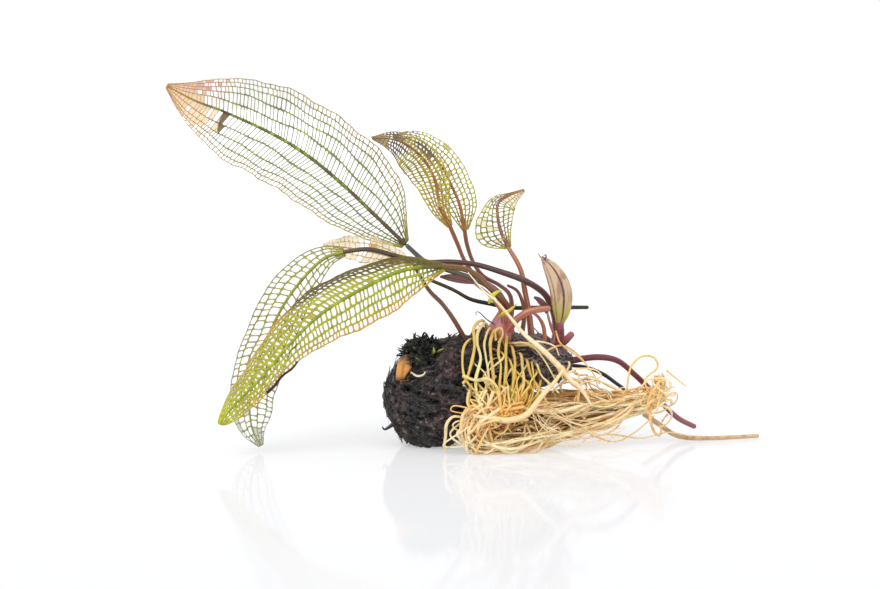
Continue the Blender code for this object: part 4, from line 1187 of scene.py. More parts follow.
@dataclass
class MossTuft:
    """Black moss and dead fibre: lumps heaped on the tuber, with curled strands."""

    middle: Point = (-0.8, -4.0, 37.4)
    half: Point = (9.0, 9.6, 6.4)
    clumps: int = 52
    strands: int = 620

    def heart(self) -> Surface:
        """Lumpy balls, by turn and height, heaped in an ellipsoid."""
        dice = np.random.default_rng(31)
        turn = np.linspace(0.0, 2 * math.pi, 20, endpoint=False)
        climb = np.linspace(0.12, math.pi - 0.12, 14)[:, None]
        ball = np.stack([np.sin(climb) * np.cos(turn), np.sin(climb) * np.sin(turn),
                         -np.cos(climb) * np.ones_like(turn)], axis=-1)
        parts = []
        outward = unit(dice.normal(size=(self.clumps, 3)) + (0.0, -0.3, 0.2))
        centres = np.array(self.middle) + outward * self.half * dice.uniform(0.2, 0.85, (self.clumps, 1))
        for number, (centre, size) in enumerate(zip(centres, dice.uniform(1.5, 3.4, self.clumps))):
            swell = 1.0 + 0.3 * lumps(ball + number, 1.0, 32) + 0.2 * lumps(ball + number, 0.35, 33)
            rings = centre + ball * swell[..., None] * (size, size, 0.8 * size)
            points, faces = closed_rings(rings, rings[[0, -1]].mean(1))
            parts.append(Surface(points, faces, {"strand": np.zeros(len(points))}))
        return joined(parts)

    def curls(self) -> Surface:
        """Short blunt strands that start in the heart, run outwards and curl."""
        dice = np.random.default_rng(33)
        outward = unit(dice.normal(size=(self.strands, 3)) + (0.0, -0.2, 0.35))
        start = np.array(self.middle) + outward * self.half * dice.uniform(0.5, 1.0, (self.strands, 1))
        aside = unit(np.cross(outward, dice.normal(size=(self.strands, 3))))
        share = np.linspace(0.0, 1.0, 7)[:, None]
        length = dice.uniform(0.6, 2.8, (self.strands, 1, 1))
        swirl = dice.uniform(-3.0, 3.0, (self.strands, 1, 1))
        paths = (start[:, None] + outward[:, None] * length * np.sin(1.3 * share)
                 + aside[:, None] * length * 0.6 * (1 - np.cos(swirl * share)) * np.sign(swirl))
        paths[..., 2] = np.minimum(paths[..., 2], 46.0)
        radii = dice.uniform(0.2, 0.6, (self.strands, 1)) * (1.0 - 0.35 * share[:, 0])
        return tubes(paths, radii, 5, 0.7, seed=34)

    def build(self) -> None:
        """Make the heart and its curls as one piece."""
        finish = FibreFinish("moss", (0.005, 0.005, 0.005), (0.06, 0.09, 0.012), 0.07)
        add_piece("moss", joined([self.heart(), self.curls()]), finish.material(), ("moss_tuft",))


# Stalks and shoots.


@dataclass(frozen=True)
class Stalk:
    """One stalk from its foot, through its solid's route, to its end."""

    node: str
    slot: str
    finish: StalkFinish
    foot: tuple[Point, ...]
    route: tuple[Point, ...]
    radii: tuple[float, ...]
    flat: float = 0.85

    def build(self) -> None:
        """A ribbed tube that widens to its foot."""
        steps = 30 + 8 * len(self.route)
        path = even_path(self.foot + self.route, steps)
        share = np.linspace(0.0, 1.0, steps)
        radii = smooth_values(self.radii, share) * (1.0 + 0.03 * np.sin(23.0 * share))
        made = tubes(path, radii, 14, self.flat, (5, 0.05), seed=len(self.route))
        add_piece(self.node.replace("_stalk", "_petiole").replace("_stub", "_stump"), made, self.finish.material(),
                  (self.node,))


def stalks() -> list[Stalk]:
    """Every stalk, its foot in its shoot or in the tuber."""
    brown = StalkFinish("brown_stalk", (0.19, 0.035, 0.045), (0.17, 0.060, 0.022), (0.15, 0.075, 0.012),
                        (0.36, 0.18, 0.06))
    wine = StalkFinish("wine_stalk", (0.19, 0.035, 0.045), (0.17, 0.035, 0.028), (0.27, 0.075, 0.020),
                       (0.34, 0.15, 0.05))
    purple = StalkFinish("purple_stalk", (0.17, 0.022, 0.036), (0.075, 0.030, 0.028),
                         (0.060, 0.045, 0.014), (0.17, 0.08, 0.06))
    magenta = StalkFinish("magenta_stalk", (0.14, 0.014, 0.026), (0.16, 0.024, 0.036), (0.34, 0.10, 0.13),
                          (0.32, 0.09, 0.09))
    pink = StalkFinish("pink_stalk", (0.33, 0.065, 0.075), (0.46, 0.14, 0.075), (0.42, 0.17, 0.085),
                       (0.62, 0.33, 0.22))
    dark = StalkFinish("dark_stalk", (0.10, 0.075, 0.012), (0.035, 0.026, 0.012), (0.012, 0.010, 0.012),
                       (0.13, 0.09, 0.03))
    black = StalkFinish("black_stalk", (0.016, 0.012, 0.010), (0.008, 0.007, 0.007), (0.010, 0.009, 0.008),
                        (0.05, 0.042, 0.03))
    grey = StalkFinish("grey_stalk", (0.13, 0.04, 0.035), (0.085, 0.07, 0.045), (0.06, 0.065, 0.045),
                       (0.22, 0.22, 0.16))
    left = ((30.5, -1.5, 46.0),)
    return [
        Stalk("upper_leaf_stalk", "grey_stalk", grey, left,
              ((32, 1.0, 54), (28.5, 3.5, 60.5), (24, 6, 64), (17, 7, 67), (8, 7, 70), (0, 8, 73),
               (-7.4, 7.8, 79.5)), (1.9, 1.3, 1.2, 1.1)),
        Stalk("front_leaf_stalk", "brown_stalk", brown, ((31.5, -2.5, 46.0),),
              ((33.5, -1.5, 53), (32, -4.5, 57.5), (29, -7.5, 61), (25, -9, 65), (21, -9, 69),
               (15, -9, 72), (7.0, -9.2, 73)), (2.0, 1.5, 1.3, 1.3, 1.3)),
        Stalk("back_leaf_stalk", "purple_stalk", purple, ((53.0, 2.0, 38.0),),
              ((53, 3.0, 43), (52.6, 5, 50), (50.6, 5, 56), (47.4, 4, 61), (40, 1, 66), (30, -2, 70),
               (20, -3, 73), (10, -3, 74), (0, -3, 74), (-10, -3, 76), (-22, -3, 79),
               (-32.5, -3, 78.0)), (2.1, 1.6, 1.4, 1.2, 1.1, 1.0)),
        Stalk("arching_leaf_stalk", "brown_stalk", wine, ((31.0, 0.5, 46.0),),
              ((33, 2.5, 54), (30, 6, 60.5), (26, 9.5, 63.5), (21, 10.5, 66), (16, 11, 73),
               (13, 12, 80), (9.8, 12.1, 87.4)), (1.6, 1.0, 0.95, 1.0)),
        Stalk("tall_leaf_stalk", "brown_stalk", wine, ((32.0, 0.5, 46.0),),
              ((34.6, 2.0, 53), (34.2, 7, 59.5), (30, 12, 63), (23.5, 14, 66.5), (19.5, 15, 72),
               (17, 16, 79), (15.9, 16.2, 85.4)), (1.6, 1.0, 0.95, 1.0)),
        Stalk("small_leaf_stalk", "pink_stalk", pink, ((42.6, 3.0, 36.0),),
              ((43, 4, 40), (42.2, 5, 49), (41.2, 5, 56), (40, 5, 62), (39, 5, 68), (37, 5, 73),
               (33.2, 5, 79.3)), (2.0, 1.6, 1.35, 1.2, 1.0)),
        Stalk("young_leaf_stalk", "magenta_stalk", magenta, ((54.0, -0.4, 40.0),),
              ((54.0, -0.6, 45.0), (54.0, -0.9, 47.5), (54.0, -1.0, 50.5)), (2.4, 2.0, 1.6)),
        Stalk("faded_leaf_stalk", "brown_stalk", brown, ((18.5, -1.0, 37.5),),
              ((17, -1, 41), (12, -2, 50), (7, -2, 57), (2, -1, 62), (-2, 0.5, 68), (-5.0, 2.0, 73.2)),
              (1.3, 1.1, 1.0, 0.7)),
        Stalk("narrow_leaf_stalk", "pink_stalk", pink, ((31.0, -4.0, 46.0),),
              ((31, -5.0, 50), (30, -6.5, 55), (27, -6.6, 59.5), (23.5, -6.9, 63), (19.5, -7, 66.0)),
              (1.0, 0.8, 0.6)),
        Stalk("tiny_leaf_stalk", "pink_stalk", pink, ((52.4, 0.0, 41.0),),
              ((52.0, 0.0, 44.0), (50.4, 0.2, 48.0), (49.0, 0.6, 53.0)), (0.9, 0.7, 0.5)),
        Stalk("dark_stalk", "dark_stalk", dark, (),
              ((2, 4, 66), (11, 5, 62), (18, 6.5, 58), (25, 8.5, 56), (35, 10, 54), (48, 10.5, 54),
               (66, 11, 54)), (0.8, 1.0, 0.9)),
        Stalk("magenta_cut_stalk", "magenta_stalk", magenta, ((47.0, 0.0, 32.0),),
              ((52, 0, 32), (60, 0.5, 34), (70, 1.5, 35), (78, 3.5, 33), (85, 5.5, 27), (91, 8.5, 21),
               (98, 12, 13), (104, 14, 7.5), (110.5, 14, 4.2)), (2.0, 1.5, 1.35, 1.3, 1.2)),
        Stalk("black_thin_stalk", "dark_stalk", black, ((49.0, 2.0, 31.5),),
              ((53, 3, 31), (60, 5, 31), (66, 5.5, 30), (72, 5, 27.5), (77, 5, 24), (81, 5.5, 21),
               (85, 6.0, 18)), (0.95, 0.85, 0.9, 0.8)),
        Stalk("pink_cut_stalk", "pink_stalk", pink, ((31.0, -3.0, 42.5),),
              ((33, -4.5, 47), (37, -7, 52), (42, -8, 55), (49.4, -7.4, 56)), (2.2, 1.6, 1.4, 1.2)),
        Stalk("brown_arched_stalk", "brown_stalk", brown, (),
              ((33, 0.8, 64.2), (37, 1, 61.8), (39.4, 1, 56), (39.6, 1, 50), (38.4, 1, 42),
               (38.0, 0.5, 38.0)), (0.6, 0.9, 1.1, 1.5)),
        Stalk("pink_arched_stalk", "pink_stalk", pink, (),
              ((43, 0.5, 53.4), (45.6, -1.6, 51.4), (47.6, -3, 47), (48, -3, 38), (48, -2.5, 34.5)),
              (0.6, 0.9, 1.1, 1.5)),
        Stalk("magenta_stub", "magenta_stalk", magenta, ((51.5, -1.5, 38.0),),
              ((53.5, -3, 40.5), (56.4, -6.5, 43.5), (58.4, -8.2, 46)), (2.2, 1.8, 1.3)),
    ]


@dataclass
class Shoot:
    """A growing point: the swollen feet of its leaves, wrapped round each other."""

    name: str
    node: str
    path: tuple[Point, ...]
    radii: tuple[float, ...]
    sheaths: int
    seed: int

    def build(self, finish: bpy.types.Material) -> None:
        """Fat tapering sheaths set round the shoot's line, leaning in towards its top."""
        dice = np.random.default_rng(self.seed)
        steps = 24
        share = np.linspace(0.0, 1.0, steps)
        line = even_path(self.path, steps)
        radius = smooth_values(self.radii, share)
        turn = np.arange(self.sheaths) * 2.4 + dice.uniform(-0.3, 0.3, self.sheaths)
        reach = (0.52 * radius * (1.0 - 0.35 * share))[None]
        paths = line[None] + np.stack([reach * np.cos(turn)[:, None], 0.9 * reach * np.sin(turn)[:, None],
                                       np.zeros((self.sheaths, steps))], axis=-1)
        height = dice.uniform(0.65, 1.0, (self.sheaths, 1, 1))
        paths[..., 2:] = line[0, 2] + (paths[..., 2:] - line[0, 2]) * height - 1.5
        thick = 0.56 * radius * (1.0 - 0.45 * share ** 3) * dice.uniform(0.8, 1.1, (self.sheaths, 1))
        made = tubes(paths, thick, 18, 0.8, (7, 0.05), seed=self.seed)
        add_piece(self.name, made, finish, (self.node,))


def build_shoots() -> None:
    """Both growing points."""
    finish = StalkFinish("shoot", (0.26, 0.040, 0.080), (0.44, 0.11, 0.15), (0.46, 0.17, 0.15),
                         (0.66, 0.34, 0.32), 7, 0.35).material()
    Shoot("left_sheaths", "left_shoot",
          ((29.0, -1.5, 40.0), (29.5, -1.5, 47.0), (31.0, -1.0, 52.0), (32.5, 0.0, 57.0)),
          (6.2, 6.6, 6.0, 4.2), 9, 41).build(finish)
    Shoot("right_sheaths", "right_shoot",
          ((51.6, 0.0, 36.0), (52.4, 0.0, 41.0), (53.4, -0.3, 45.0), (53.8, -0.8, 49.0)),
          (5.4, 4.8, 3.3, 2.4), 6, 42).build(finish)


# Unopened leaves.


@dataclass
class ClosedLeaf:
    """A leaf that hasn't opened: a flattened spindle with folds at given turns.

    folds holds a turn in radians, a width in radians, a depth and a strength of stripe for
    each fold. Turns grow from the right edge over the front, and each fold drifts by twist
    radians to the tip.
    """

    name: str
    node: str
    slot: str
    path: tuple[Point, ...]
    widths: tuple[float, ...]
    depths: tuple[float, ...]
    folds: tuple[tuple[float, float, float, float], ...]
    twist: float = 0.0
    rows: int = 90
    sides: int = 96

    def build(self, finish: bpy.types.Material) -> None:
        """Flattened rings on the path, pressed in along every fold."""
        rows, sides = self.rows, self.sides
        share = np.linspace(0.0, 1.0, rows)
        middle = even_path(self.path, rows)
        tangent = unit(np.gradient(middle, axis=0))
        across = -unit(np.cross(tangent, (0.0, 1.0, 0.0)))
        deep = np.cross(across, tangent)
        turn = np.linspace(0.0, 2 * math.pi, sides, endpoint=False)
        swell = 1.0 + 0.03 * np.sin(9.0 * share[:, None] + 2.0 * turn)
        fold = np.zeros((rows, sides))
        for place, width, depth, strength in self.folds:
            away = np.abs((turn - place - self.twist * share[:, None] + math.pi) % (2 * math.pi) - math.pi)
            near = np.exp(-(away / width) ** 2)
            fold = np.maximum(fold, strength * near)
            swell = swell - depth * near
        wide = smooth_values(self.widths, share)[:, None] * np.cos(turn) * swell
        thick = smooth_values(self.depths, share)[:, None] * np.sin(turn) * swell
        rings = middle[:, None] + wide[..., None] * across[:, None] + thick[..., None] * deep[:, None]
        points, faces = closed_rings(rings, middle[[0, -1]])
        faces = [polygons[:, ::-1] for polygons in faces]
        ends = np.array([0.0, 1.0])
        paint = {"along": np.concatenate([np.repeat(share, sides), ends]),
                 "fold": np.concatenate([fold.ravel(), 0 * ends]),
                 "turn": np.concatenate([np.tile(turn, rows), 0 * ends]),
                 "strand": np.zeros(rows * sides + 2)}
        add_piece(self.name, Surface(points, faces, paint), finish, (self.node,))


BUD_FOLDS = ((0.25, 0.10, 0.04, 0.7), (0.95, 0.12, 0.10, 0.45), (1.45, 0.16, 0.24, 1.0),
             (1.95, 0.10, 0.05, 0.3), (2.45, 0.16, 0.14, 0.65), (2.95, 0.1, 0.04, 0.9),
             (3.8, 0.15, 0.1, 0.6), (4.7, 0.2, 0.15, 0.9), (5.5, 0.15, 0.1, 0.6))
LEAFLET_FOLDS = ((0.9, 0.12, 0.06, 0.7), (1.5, 0.18, 0.12, 1.0), (2.2, 0.12, 0.06, 0.7),
                 (4.7, 0.3, 0.15, 1.0))


def build_closed_leaves() -> None:
    """The rolled young leaf, the narrow leaf and the tiny leaf."""
    ClosedLeaf("young_leaf", "young_leaf_blade", "young_leaf",
               ((54.0, -1, 49.0), (54.6, -2, 55), (54.0, -3, 63), (51.0, -2, 70), (46.4, -1, 76)),
               (1.6, 3.3, 4.3, 4.5, 3.9, 2.6, 0.5), (1.2, 2.2, 2.8, 2.6, 2.0, 1.2, 0.4),
               BUD_FOLDS, -0.25).build(BudFinish().material())
    purple = BudFinish("purple_leaf", (0.20, 0.075, 0.06), (0.17, 0.065, 0.05), (0.09, 0.03, 0.03))
    finish = purple.material()
    ClosedLeaf("narrow_leaf", "narrow_leaf_blade", "purple_stalk",
               ((6.0, -6.5, 68.5), (10.0, -7.0, 68.2), (15.0, -7.0, 67.2), (19.5, -7.0, 66.0)),
               (0.4, 1.3, 1.6, 1.2, 0.5), (0.3, 0.5, 0.5, 0.3), LEAFLET_FOLDS, 0.0, 40, 48).build(finish)
    ClosedLeaf("tiny_leaf", "tiny_leaf_blade", "purple_stalk",
               ((43.6, 1.5, 59.4), (45.5, 1.2, 58.4), (47.4, 1.0, 56.4), (49.0, 0.6, 53.0)),
               (0.4, 1.2, 1.3, 0.6), (0.3, 0.5, 0.5, 0.3), LEAFLET_FOLDS, 0.0, 40, 48).build(finish)


@dataclass(frozen=True)
class Scrap:
    """A small loose part of the plant that no solid stands for."""

    name: str
    route: tuple[Point, ...]
    radii: tuple[float, ...]
    slot: str
    finish: StalkFinish
    flat: float = 1.0

    def build(self) -> None:
        """A tube along the route, flattened for a bit of leaf."""
        radii = smooth_values(self.radii, np.linspace(0.0, 1.0, 40))
        made = tubes(even_path(self.route, 40), radii, 10, self.flat, seed=len(self.route))
        add_piece(self.name, made, self.finish.material(), ())


def build_scraps() -> None:
    """Yellow leaf bits, thin hooks and threads, and the twigs on the tuber."""
    yellow = StalkFinish("yellow_bit", (0.50, 0.42, 0.02), (0.72, 0.66, 0.03), (0.62, 0.60, 0.03),
                         (0.80, 0.74, 0.08))
    thread = StalkFinish("grey_thread", (0.10, 0.07, 0.07), (0.14, 0.11, 0.12), (0.20, 0.17, 0.16),
                         (0.26, 0.22, 0.20))
    twig = StalkFinish("black_twig", (0.006, 0.006, 0.007), (0.008, 0.007, 0.008), (0.010, 0.009, 0.009),
                       (0.03, 0.026, 0.026))
    pale = StalkFinish("pale_rootlet", (0.70, 0.62, 0.40), (0.86, 0.80, 0.58), (0.80, 0.70, 0.46),
                       (0.60, 0.46, 0.24))
    scale = StalkFinish("orange_scale", (0.14, 0.055, 0.015), (0.80, 0.36, 0.07),
                        (0.035, 0.016, 0.008), (0.24, 0.09, 0.02), 3)
    green = StalkFinish("moss_green", (0.10, 0.14, 0.01), (0.30, 0.36, 0.03), (0.42, 0.46, 0.05),
                        (0.16, 0.20, 0.02))
    for scrap in (
            Scrap("upper_yellow_bit", ((25.4, -9.5, 58.2), (26.2, -10.6, 60.6), (28, -11, 62.6), (30.4, -11, 63.6)),
                  (0.5, 0.9, 0.7, 0.2), "bright_lace", yellow, 0.45),
            Scrap("lower_yellow_bit", ((29.5, -8.5, 52.5), (31.5, -10.2, 54.6), (33.6, -10.6, 55.6), (36.6, -10.4, 58.4)),
                  (0.4, 1.1, 0.8, 0.15), "bright_lace", yellow, 0.45),
            Scrap("grey_hook", ((27.5, -5, 49.4), (24.6, -8, 51.6), (21.8, -9, 54.4), (20.3, -9, 54.7),
                                (20.4, -9, 53.4)), (0.3, 0.25, 0.22, 0.15), "grey_stalk", thread),
            Scrap("bud_thread", ((46.6, -1, 75.2), (45.6, -1, 76.4), (45.0, -1, 77.2)), (0.35, 0.2, 0.15),
                  "young_leaf", thread),
            Scrap("bud_curl", ((47.4, -1.4, 74.6), (48.2, -2.4, 75.8), (48.0, -2.8, 76.8), (47.2, -2.6, 76.6)),
                  (0.45, 0.35, 0.3, 0.15), "young_leaf", thread),
            Scrap("black_twig", ((3.0, -7, 42.6), (5.6, -7.4, 42.2), (8, -7.4, 42.8), (9.6, -7.4, 44.6), (9.2, -7.4, 46.0)),
                  (0.45, 0.6, 0.5, 0.45, 0.3), "tuber_bark", twig),
            Scrap("twig_fork", ((9.4, -7.4, 44.6), (10.6, -7.6, 45.6)), (0.4, 0.2), "tuber_bark", twig),
            Scrap("tuber_tag", ((-11.0, -7, 10.6), (-14.4, -8, 8.2), (-16.2, -8.4, 7.4), (-17.0, -8.2, 8.4)),
                  (1.5, 1.4, 1.0, 0.4), "tuber_bark", twig, 0.6),
            Scrap("orange_scale", ((-10.0, -11.0, 27.6), (-9.4, -12.2, 30.4), (-8.2, -12.2, 33.6),
                                   (-6.6, -10.8, 37.4)), (1.6, 2.2, 2.9, 1.8), "tuber_bark", scale, 0.5),
            Scrap("pale_rootlet", ((-5.4, -17.6, 32), (-3.0, -19.6, 30.8), (-0.6, -20.4, 31.4), (0.2, -20.2, 32.6)),
                  (0.25, 0.42, 0.4, 0.25), "tan_root", pale),
            Scrap("right_moss_leaf", ((4.4, -10, 38.6), (5.8, -11.6, 39.6), (7.6, -12, 40.6)), (0.3, 0.7, 0.15),
                  "moss", green, 0.4),
            Scrap("middle_moss_leaf", ((2.6, -11, 37.6), (3.6, -12.6, 39.4), (3.4, -12.8, 41.2)),
                  (0.3, 0.6, 0.15), "moss", green, 0.4),
            Scrap("low_moss_leaf", ((-2.0, -12.6, 35.6), (-2.6, -14.0, 36.6), (-3.6, -14.2, 37.2)),
                  (0.3, 0.5, 0.15), "moss", green, 0.4)):
        scrap.build()


# Roots.


@dataclass(frozen=True)
class RootFamily:
    """Roots of one habit: each lies somewhere between a first and a last route."""

    count: int
    first: tuple[Point, ...]
    last: tuple[Point, ...]
    scatter: Point
    radii: tuple[float, float]
    seed: int
    wiggle: float = 0.35
    pace: tuple[float, float] = (6.0, 20.0)
    taper: float = 0.4

    def surface(self, steps: int = 44, sides: int = 5) -> Surface:
        """Mix the two routes by a random share for each root, and scatter every point.

        Args:
            steps: Points along each root.
            sides: Points round each root.

        Returns:
            The family as one surface.
        """
        dice = np.random.default_rng(self.seed)
        first, last = np.array(self.first, float), np.array(self.last, float)
        share = dice.uniform(0.0, 1.0, (self.count, 1, 1))
        share = np.clip(share + dice.normal(size=(self.count, len(first), 1)) * 0.1, 0.0, 1.0)
        controls = first + (last - first) * share
        controls = controls + dice.normal(size=controls.shape) * self.scatter
        paths = smooth_paths(controls, steps)
        place = np.linspace(0.0, 1.0, steps)[:, None]
        pace = dice.uniform(*self.pace, (self.count, 1, 3))
        shift = dice.uniform(0.0, 6.0, (self.count, 1, 3))
        paths = paths + self.wiggle * np.sin(pace * place + shift)
        radii = dice.uniform(*self.radii, (self.count, 1)) * (1.0 - self.taper * place[:, 0])
        paths[..., 2] = np.maximum(paths[..., 2], radii + 0.15)
        paths[..., 1] = np.maximum(paths[..., 1], -27.0)
        paths[..., 0] = np.minimum(paths[..., 0], 108.0)
        return tubes(paths, radii, sides, seed=self.seed)


HANGING_FAMILIES = (
    RootFamily(11, ((18, -6, 42), (16, -15.5, 40), (16, -19.5, 32), (18, -22, 25), (25, -22.5, 17)),
               ((42, -4, 34), (43, -12, 33), (43, -14.5, 27), (42, -18, 21), (39, -19, 15)),
               (1.2, 0.6, 1.4), (0.36, 0.6), 61, 0.3, (2.0, 5.0)),
    RootFamily(26, ((16, -17, 26), (17, -22.5, 23), (22, -24.4, 18), (27, -24.6, 14)),
               ((43, -12, 25), (41, -17, 22), (39, -19.5, 18), (36, -21, 14)),
               (2.4, 0.8, 1.8), (0.45, 0.75), 62, 0.5, (2.0, 7.0)),
    RootFamily(3, ((33, -8, 42), (39, -14, 42.5), (46, -14, 37), (50, -15, 27)),
               ((38, -8, 41), (47, -12.5, 39), (54, -13, 34), (58, -13, 27)),
               (0.8, 0.5, 0.8), (0.3, 0.5), 63, 0.3, (2.0, 6.0)))
TANGLE_FAMILIES = (
    RootFamily(34, ((18, -22, 18), (20, -24, 8), (34, -23, 2), (52, -18, 5), (72, -11, 10), (86, -5, 15),
                    (94, -3, 20)),
               ((30, -14, 22), (26, -8, 10), (36, 4, 3), (54, 4, 7), (74, 4, 12), (86, 2, 17), (93, -1, 22)),
               (2.4, 1.9, 1.4), (0.4, 0.95), 71, 0.55, (6.0, 24.0)),
    RootFamily(32, ((30, -20, 18), (44, -17, 17), (58, -12, 16), (72, -8, 16.5), (84, -5, 17.5),
                    (93, -4, 19)),
               ((34, -4, 20), (46, 2, 20), (60, 4, 19), (74, 3, 19), (85, 1, 20), (93, -1, 23)),
               (2.4, 1.5, 1.5), (0.4, 0.95), 72, 0.55, (6.0, 24.0)),
    RootFamily(36, ((24, -22, 20), (17, -25, 15), (15, -24, 7), (22, -23, 2.5), (34, -22, 3),
                    (46, -20, 8)),
               ((36, -20, 18), (26, -24, 14), (22, -20, 6), (30, -14, 2), (42, -10, 3), (56, -8, 8)),
               (3.6, 1.6, 2.8), (0.4, 0.8), 73, 1.0, (5.0, 17.0)),
    RootFamily(32, ((20, -18, 20), (28, -20, 13), (40, -15, 12), (50, -12, 12), (62, -8, 14)),
               ((40, -8, 22), (36, 0, 14), (46, 3, 10), (60, 3, 12), (76, 2, 15)),
               (3.6, 2.6, 2.8), (0.4, 0.8), 74, 0.9, (5.0, 17.0)),
    RootFamily(14, ((78, -4, 15), (87, -6, 15.5), (93, -5, 17.5), (96, -3, 21.5), (95.6, -2, 26), (94.4, -2, 28.6)),
               ((76, 0, 20), (85, 2, 20), (90, 2, 20.5), (92.4, 0, 22.5), (92.6, -1, 25.6), (91.6, -1.5, 27)),
               (0.8, 1.0, 0.8), (0.5, 0.8), 75, 0.25),
    RootFamily(18, ((40, -20, 16), (48, -22, 8), (60, -18, 3), (74, -12, 2)),
               ((60, -6, 22), (70, -8, 24), (80, -6, 21), (88, -4, 24)),
               (3.4, 2.0, 2.2), (0.14, 0.3), 76, 0.9, (6.0, 24.0)),
    RootFamily(9, ((52, -10, 33), (58, -12, 27), (66, -10, 22), (74, -6, 19)),
               ((57, -4, 30), (64, -5, 27), (72, -3, 23), (80, -3, 20)),
               (2.4, 1.4, 1.8), (0.3, 0.5), 77, 0.9, (6.0, 24.0)))


@dataclass
class Roots:
    """Every root: those that hang from the neck, the tangle, and the single ones."""

    steps: int = 40
    # The middle and reach of the painted orange glow at the heap's heart.
    glow_middle: Point = (28.0, -18.0, 17.0)
    glow_reach: Point = (17.0, 12.0, 8.0)
    # The heap's front, as y by x; strands behind it get painted shade.
    front_x: tuple[float, ...] = (10.0, 20.0, 40.0, 60.0, 80.0, 100.0)
    front_y: tuple[float, ...] = (-20.0, -20.0, -17.0, -11.0, -5.0, -2.0)
    hanging: tuple[tuple[Point, ...], ...] = (
        ((25, -5, 46), (23, -10.5, 51.5), (19.4, -13.6, 49), (19.5, -16, 41), (17, -19, 31), (15, -20.5, 28)),
        ((21, -7, 42), (18, -13.5, 44.5), (15.2, -16, 41), (15, -18.5, 33), (17, -20, 28), (21, -21, 24)),
        ((26, -5, 45), (24, -10.5, 50.5), (21, -13.6, 47.5), (20.6, -15, 43), (22, -16, 37), (20, -20, 29), (21, -21, 20)),
        ((28, -5, 44), (25.6, -11.5, 48.5), (23.5, -13.8, 43), (24, -15.5, 38), (25, -18, 30), (23, -20, 20)),
        ((30, -5, 43), (28, -11.5, 48), (26, -13.5, 44), (26, -14.5, 39), (27, -17, 29), (26, -18, 22)),
        ((32, -5, 40), (30, -12, 44), (29, -14, 39), (30, -15.5, 34), (29.5, -17.5, 26), (30.5, -19, 19)),
        ((33, -5, 42), (32.4, -11, 45), (32, -13.5, 40), (32, -16, 33), (31, -18, 24)),
        ((33, -4, 40), (34.5, -11.5, 41), (35.6, -14, 35), (35, -16, 29), (34, -18, 21)),
        ((36, -4, 37), (38, -11, 38), (38.6, -13, 33), (39, -16, 27), (37, -18, 21)),
        ((39, -4, 35), (40.4, -11, 35.5), (42, -12.8, 30), (45, -14.5, 25), (48, -15, 20)),
        ((43, -4, 33), (44.4, -11, 34), (46, -12.5, 30), (49, -13, 27), (53, -13, 23)),
        ((28, -13, 44), (28, -14.4, 48), (30.2, -14.6, 49), (30.6, -14.4, 46), (29, -13.5, 43)),
        ((15, -20.5, 31), (20, -21.6, 29.4), (25, -22.4, 30), (28.5, -23, 26), (30, -23.6, 17)))
    single: tuple[tuple[str, tuple[Point, ...], tuple[float, ...]], ...] = (
        ("long_diagonal_root", ((17, -14, 71), (23, -14.5, 64), (28, -15.5, 60), (34, -15.5, 53),
                                (39, -16.5, 47), (46, -16.5, 41), (51, -15.5, 36), (57, -15, 29),
                                (62, -15, 24.5), (66, -14, 18)),
         (0.2, 0.38, 0.55, 0.75, 1.05, 1.1, 0.9, 0.45)),
        ("sweeping_root", ((19, -25, 16), (26, -25.5, 15), (33, -25, 14.2), (40, -24, 16.4),
                           (46, -22, 23.4), (50.5, -20.5, 28), (55, -17, 33.5)),
         (0.7, 1.15, 1.2, 0.9, 0.55)),
        ("tuber_front_root", ((14.5, -22.5, 15), (11, -22.5, 15), (8.6, -22.3, 12), (8.2, -21.5, 7),
                              (7.8, -20.5, 3.5), (8.4, -19, 0.75)), (0.4, 0.65, 0.6, 0.45)),
        ("end_loop_root", ((81, -1.5, 22.2), (82.5, -0.5, 31), (87, 0.5, 35.5), (92, 1, 35),
                           (93.5, 1, 31), (89.5, 0.5, 27.5), (88.2, -1, 25.2), (90, -2, 21)),
         (0.4, 0.45, 0.32)),
        ("runner_root", ((89, 9.0, 10.5), (95, 8, 6.5), (101, 6.4, 2.6), (107.5, 5.6, 1.25),
                         (120, 6, 1.2), (136, 10.9, 1.1)), (1.1, 1.0, 0.85, 0.8)))
    loose: tuple[tuple[Point, ...], ...] = (
        ((21, -23.5, 17), (16, -24, 19), (11.4, -23.6, 19.6), (10.4, -23, 17.6), (15, -23.5, 16.6)),
        ((18, -23, 13), (13, -24, 13.6), (11, -23.4, 11.6), (14, -23, 9.4), (19, -22.6, 9)),
        ((48, -9, 39), (54, -7, 41), (60, -5, 38), (66, -4, 31), (70, -4, 25)),
        ((52, -8, 47), (54, -9.4, 42), (62, -10, 36), (66, -9, 31)),
        ((55, -14, 30), (60, -13, 32.5), (67, -11, 32), (70, -10, 29), (64, -11, 27)),
        ((40, -14, 43), (45, -16.5, 44), (51, -15, 42), (53, -13, 38)),
        ((97, 0, 30), (100, 0, 27.4), (105, 0, 23.4)),
        ((66, -6, 4), (75, -5, 4.6), (87, -2, 2.6), (98, 1, 4.4), (107, 4, 2.2)),
        ((62, -10, 9), (69, -8, 4), (77, -6, 2), (85, -4, 6), (92, -3, 12)))

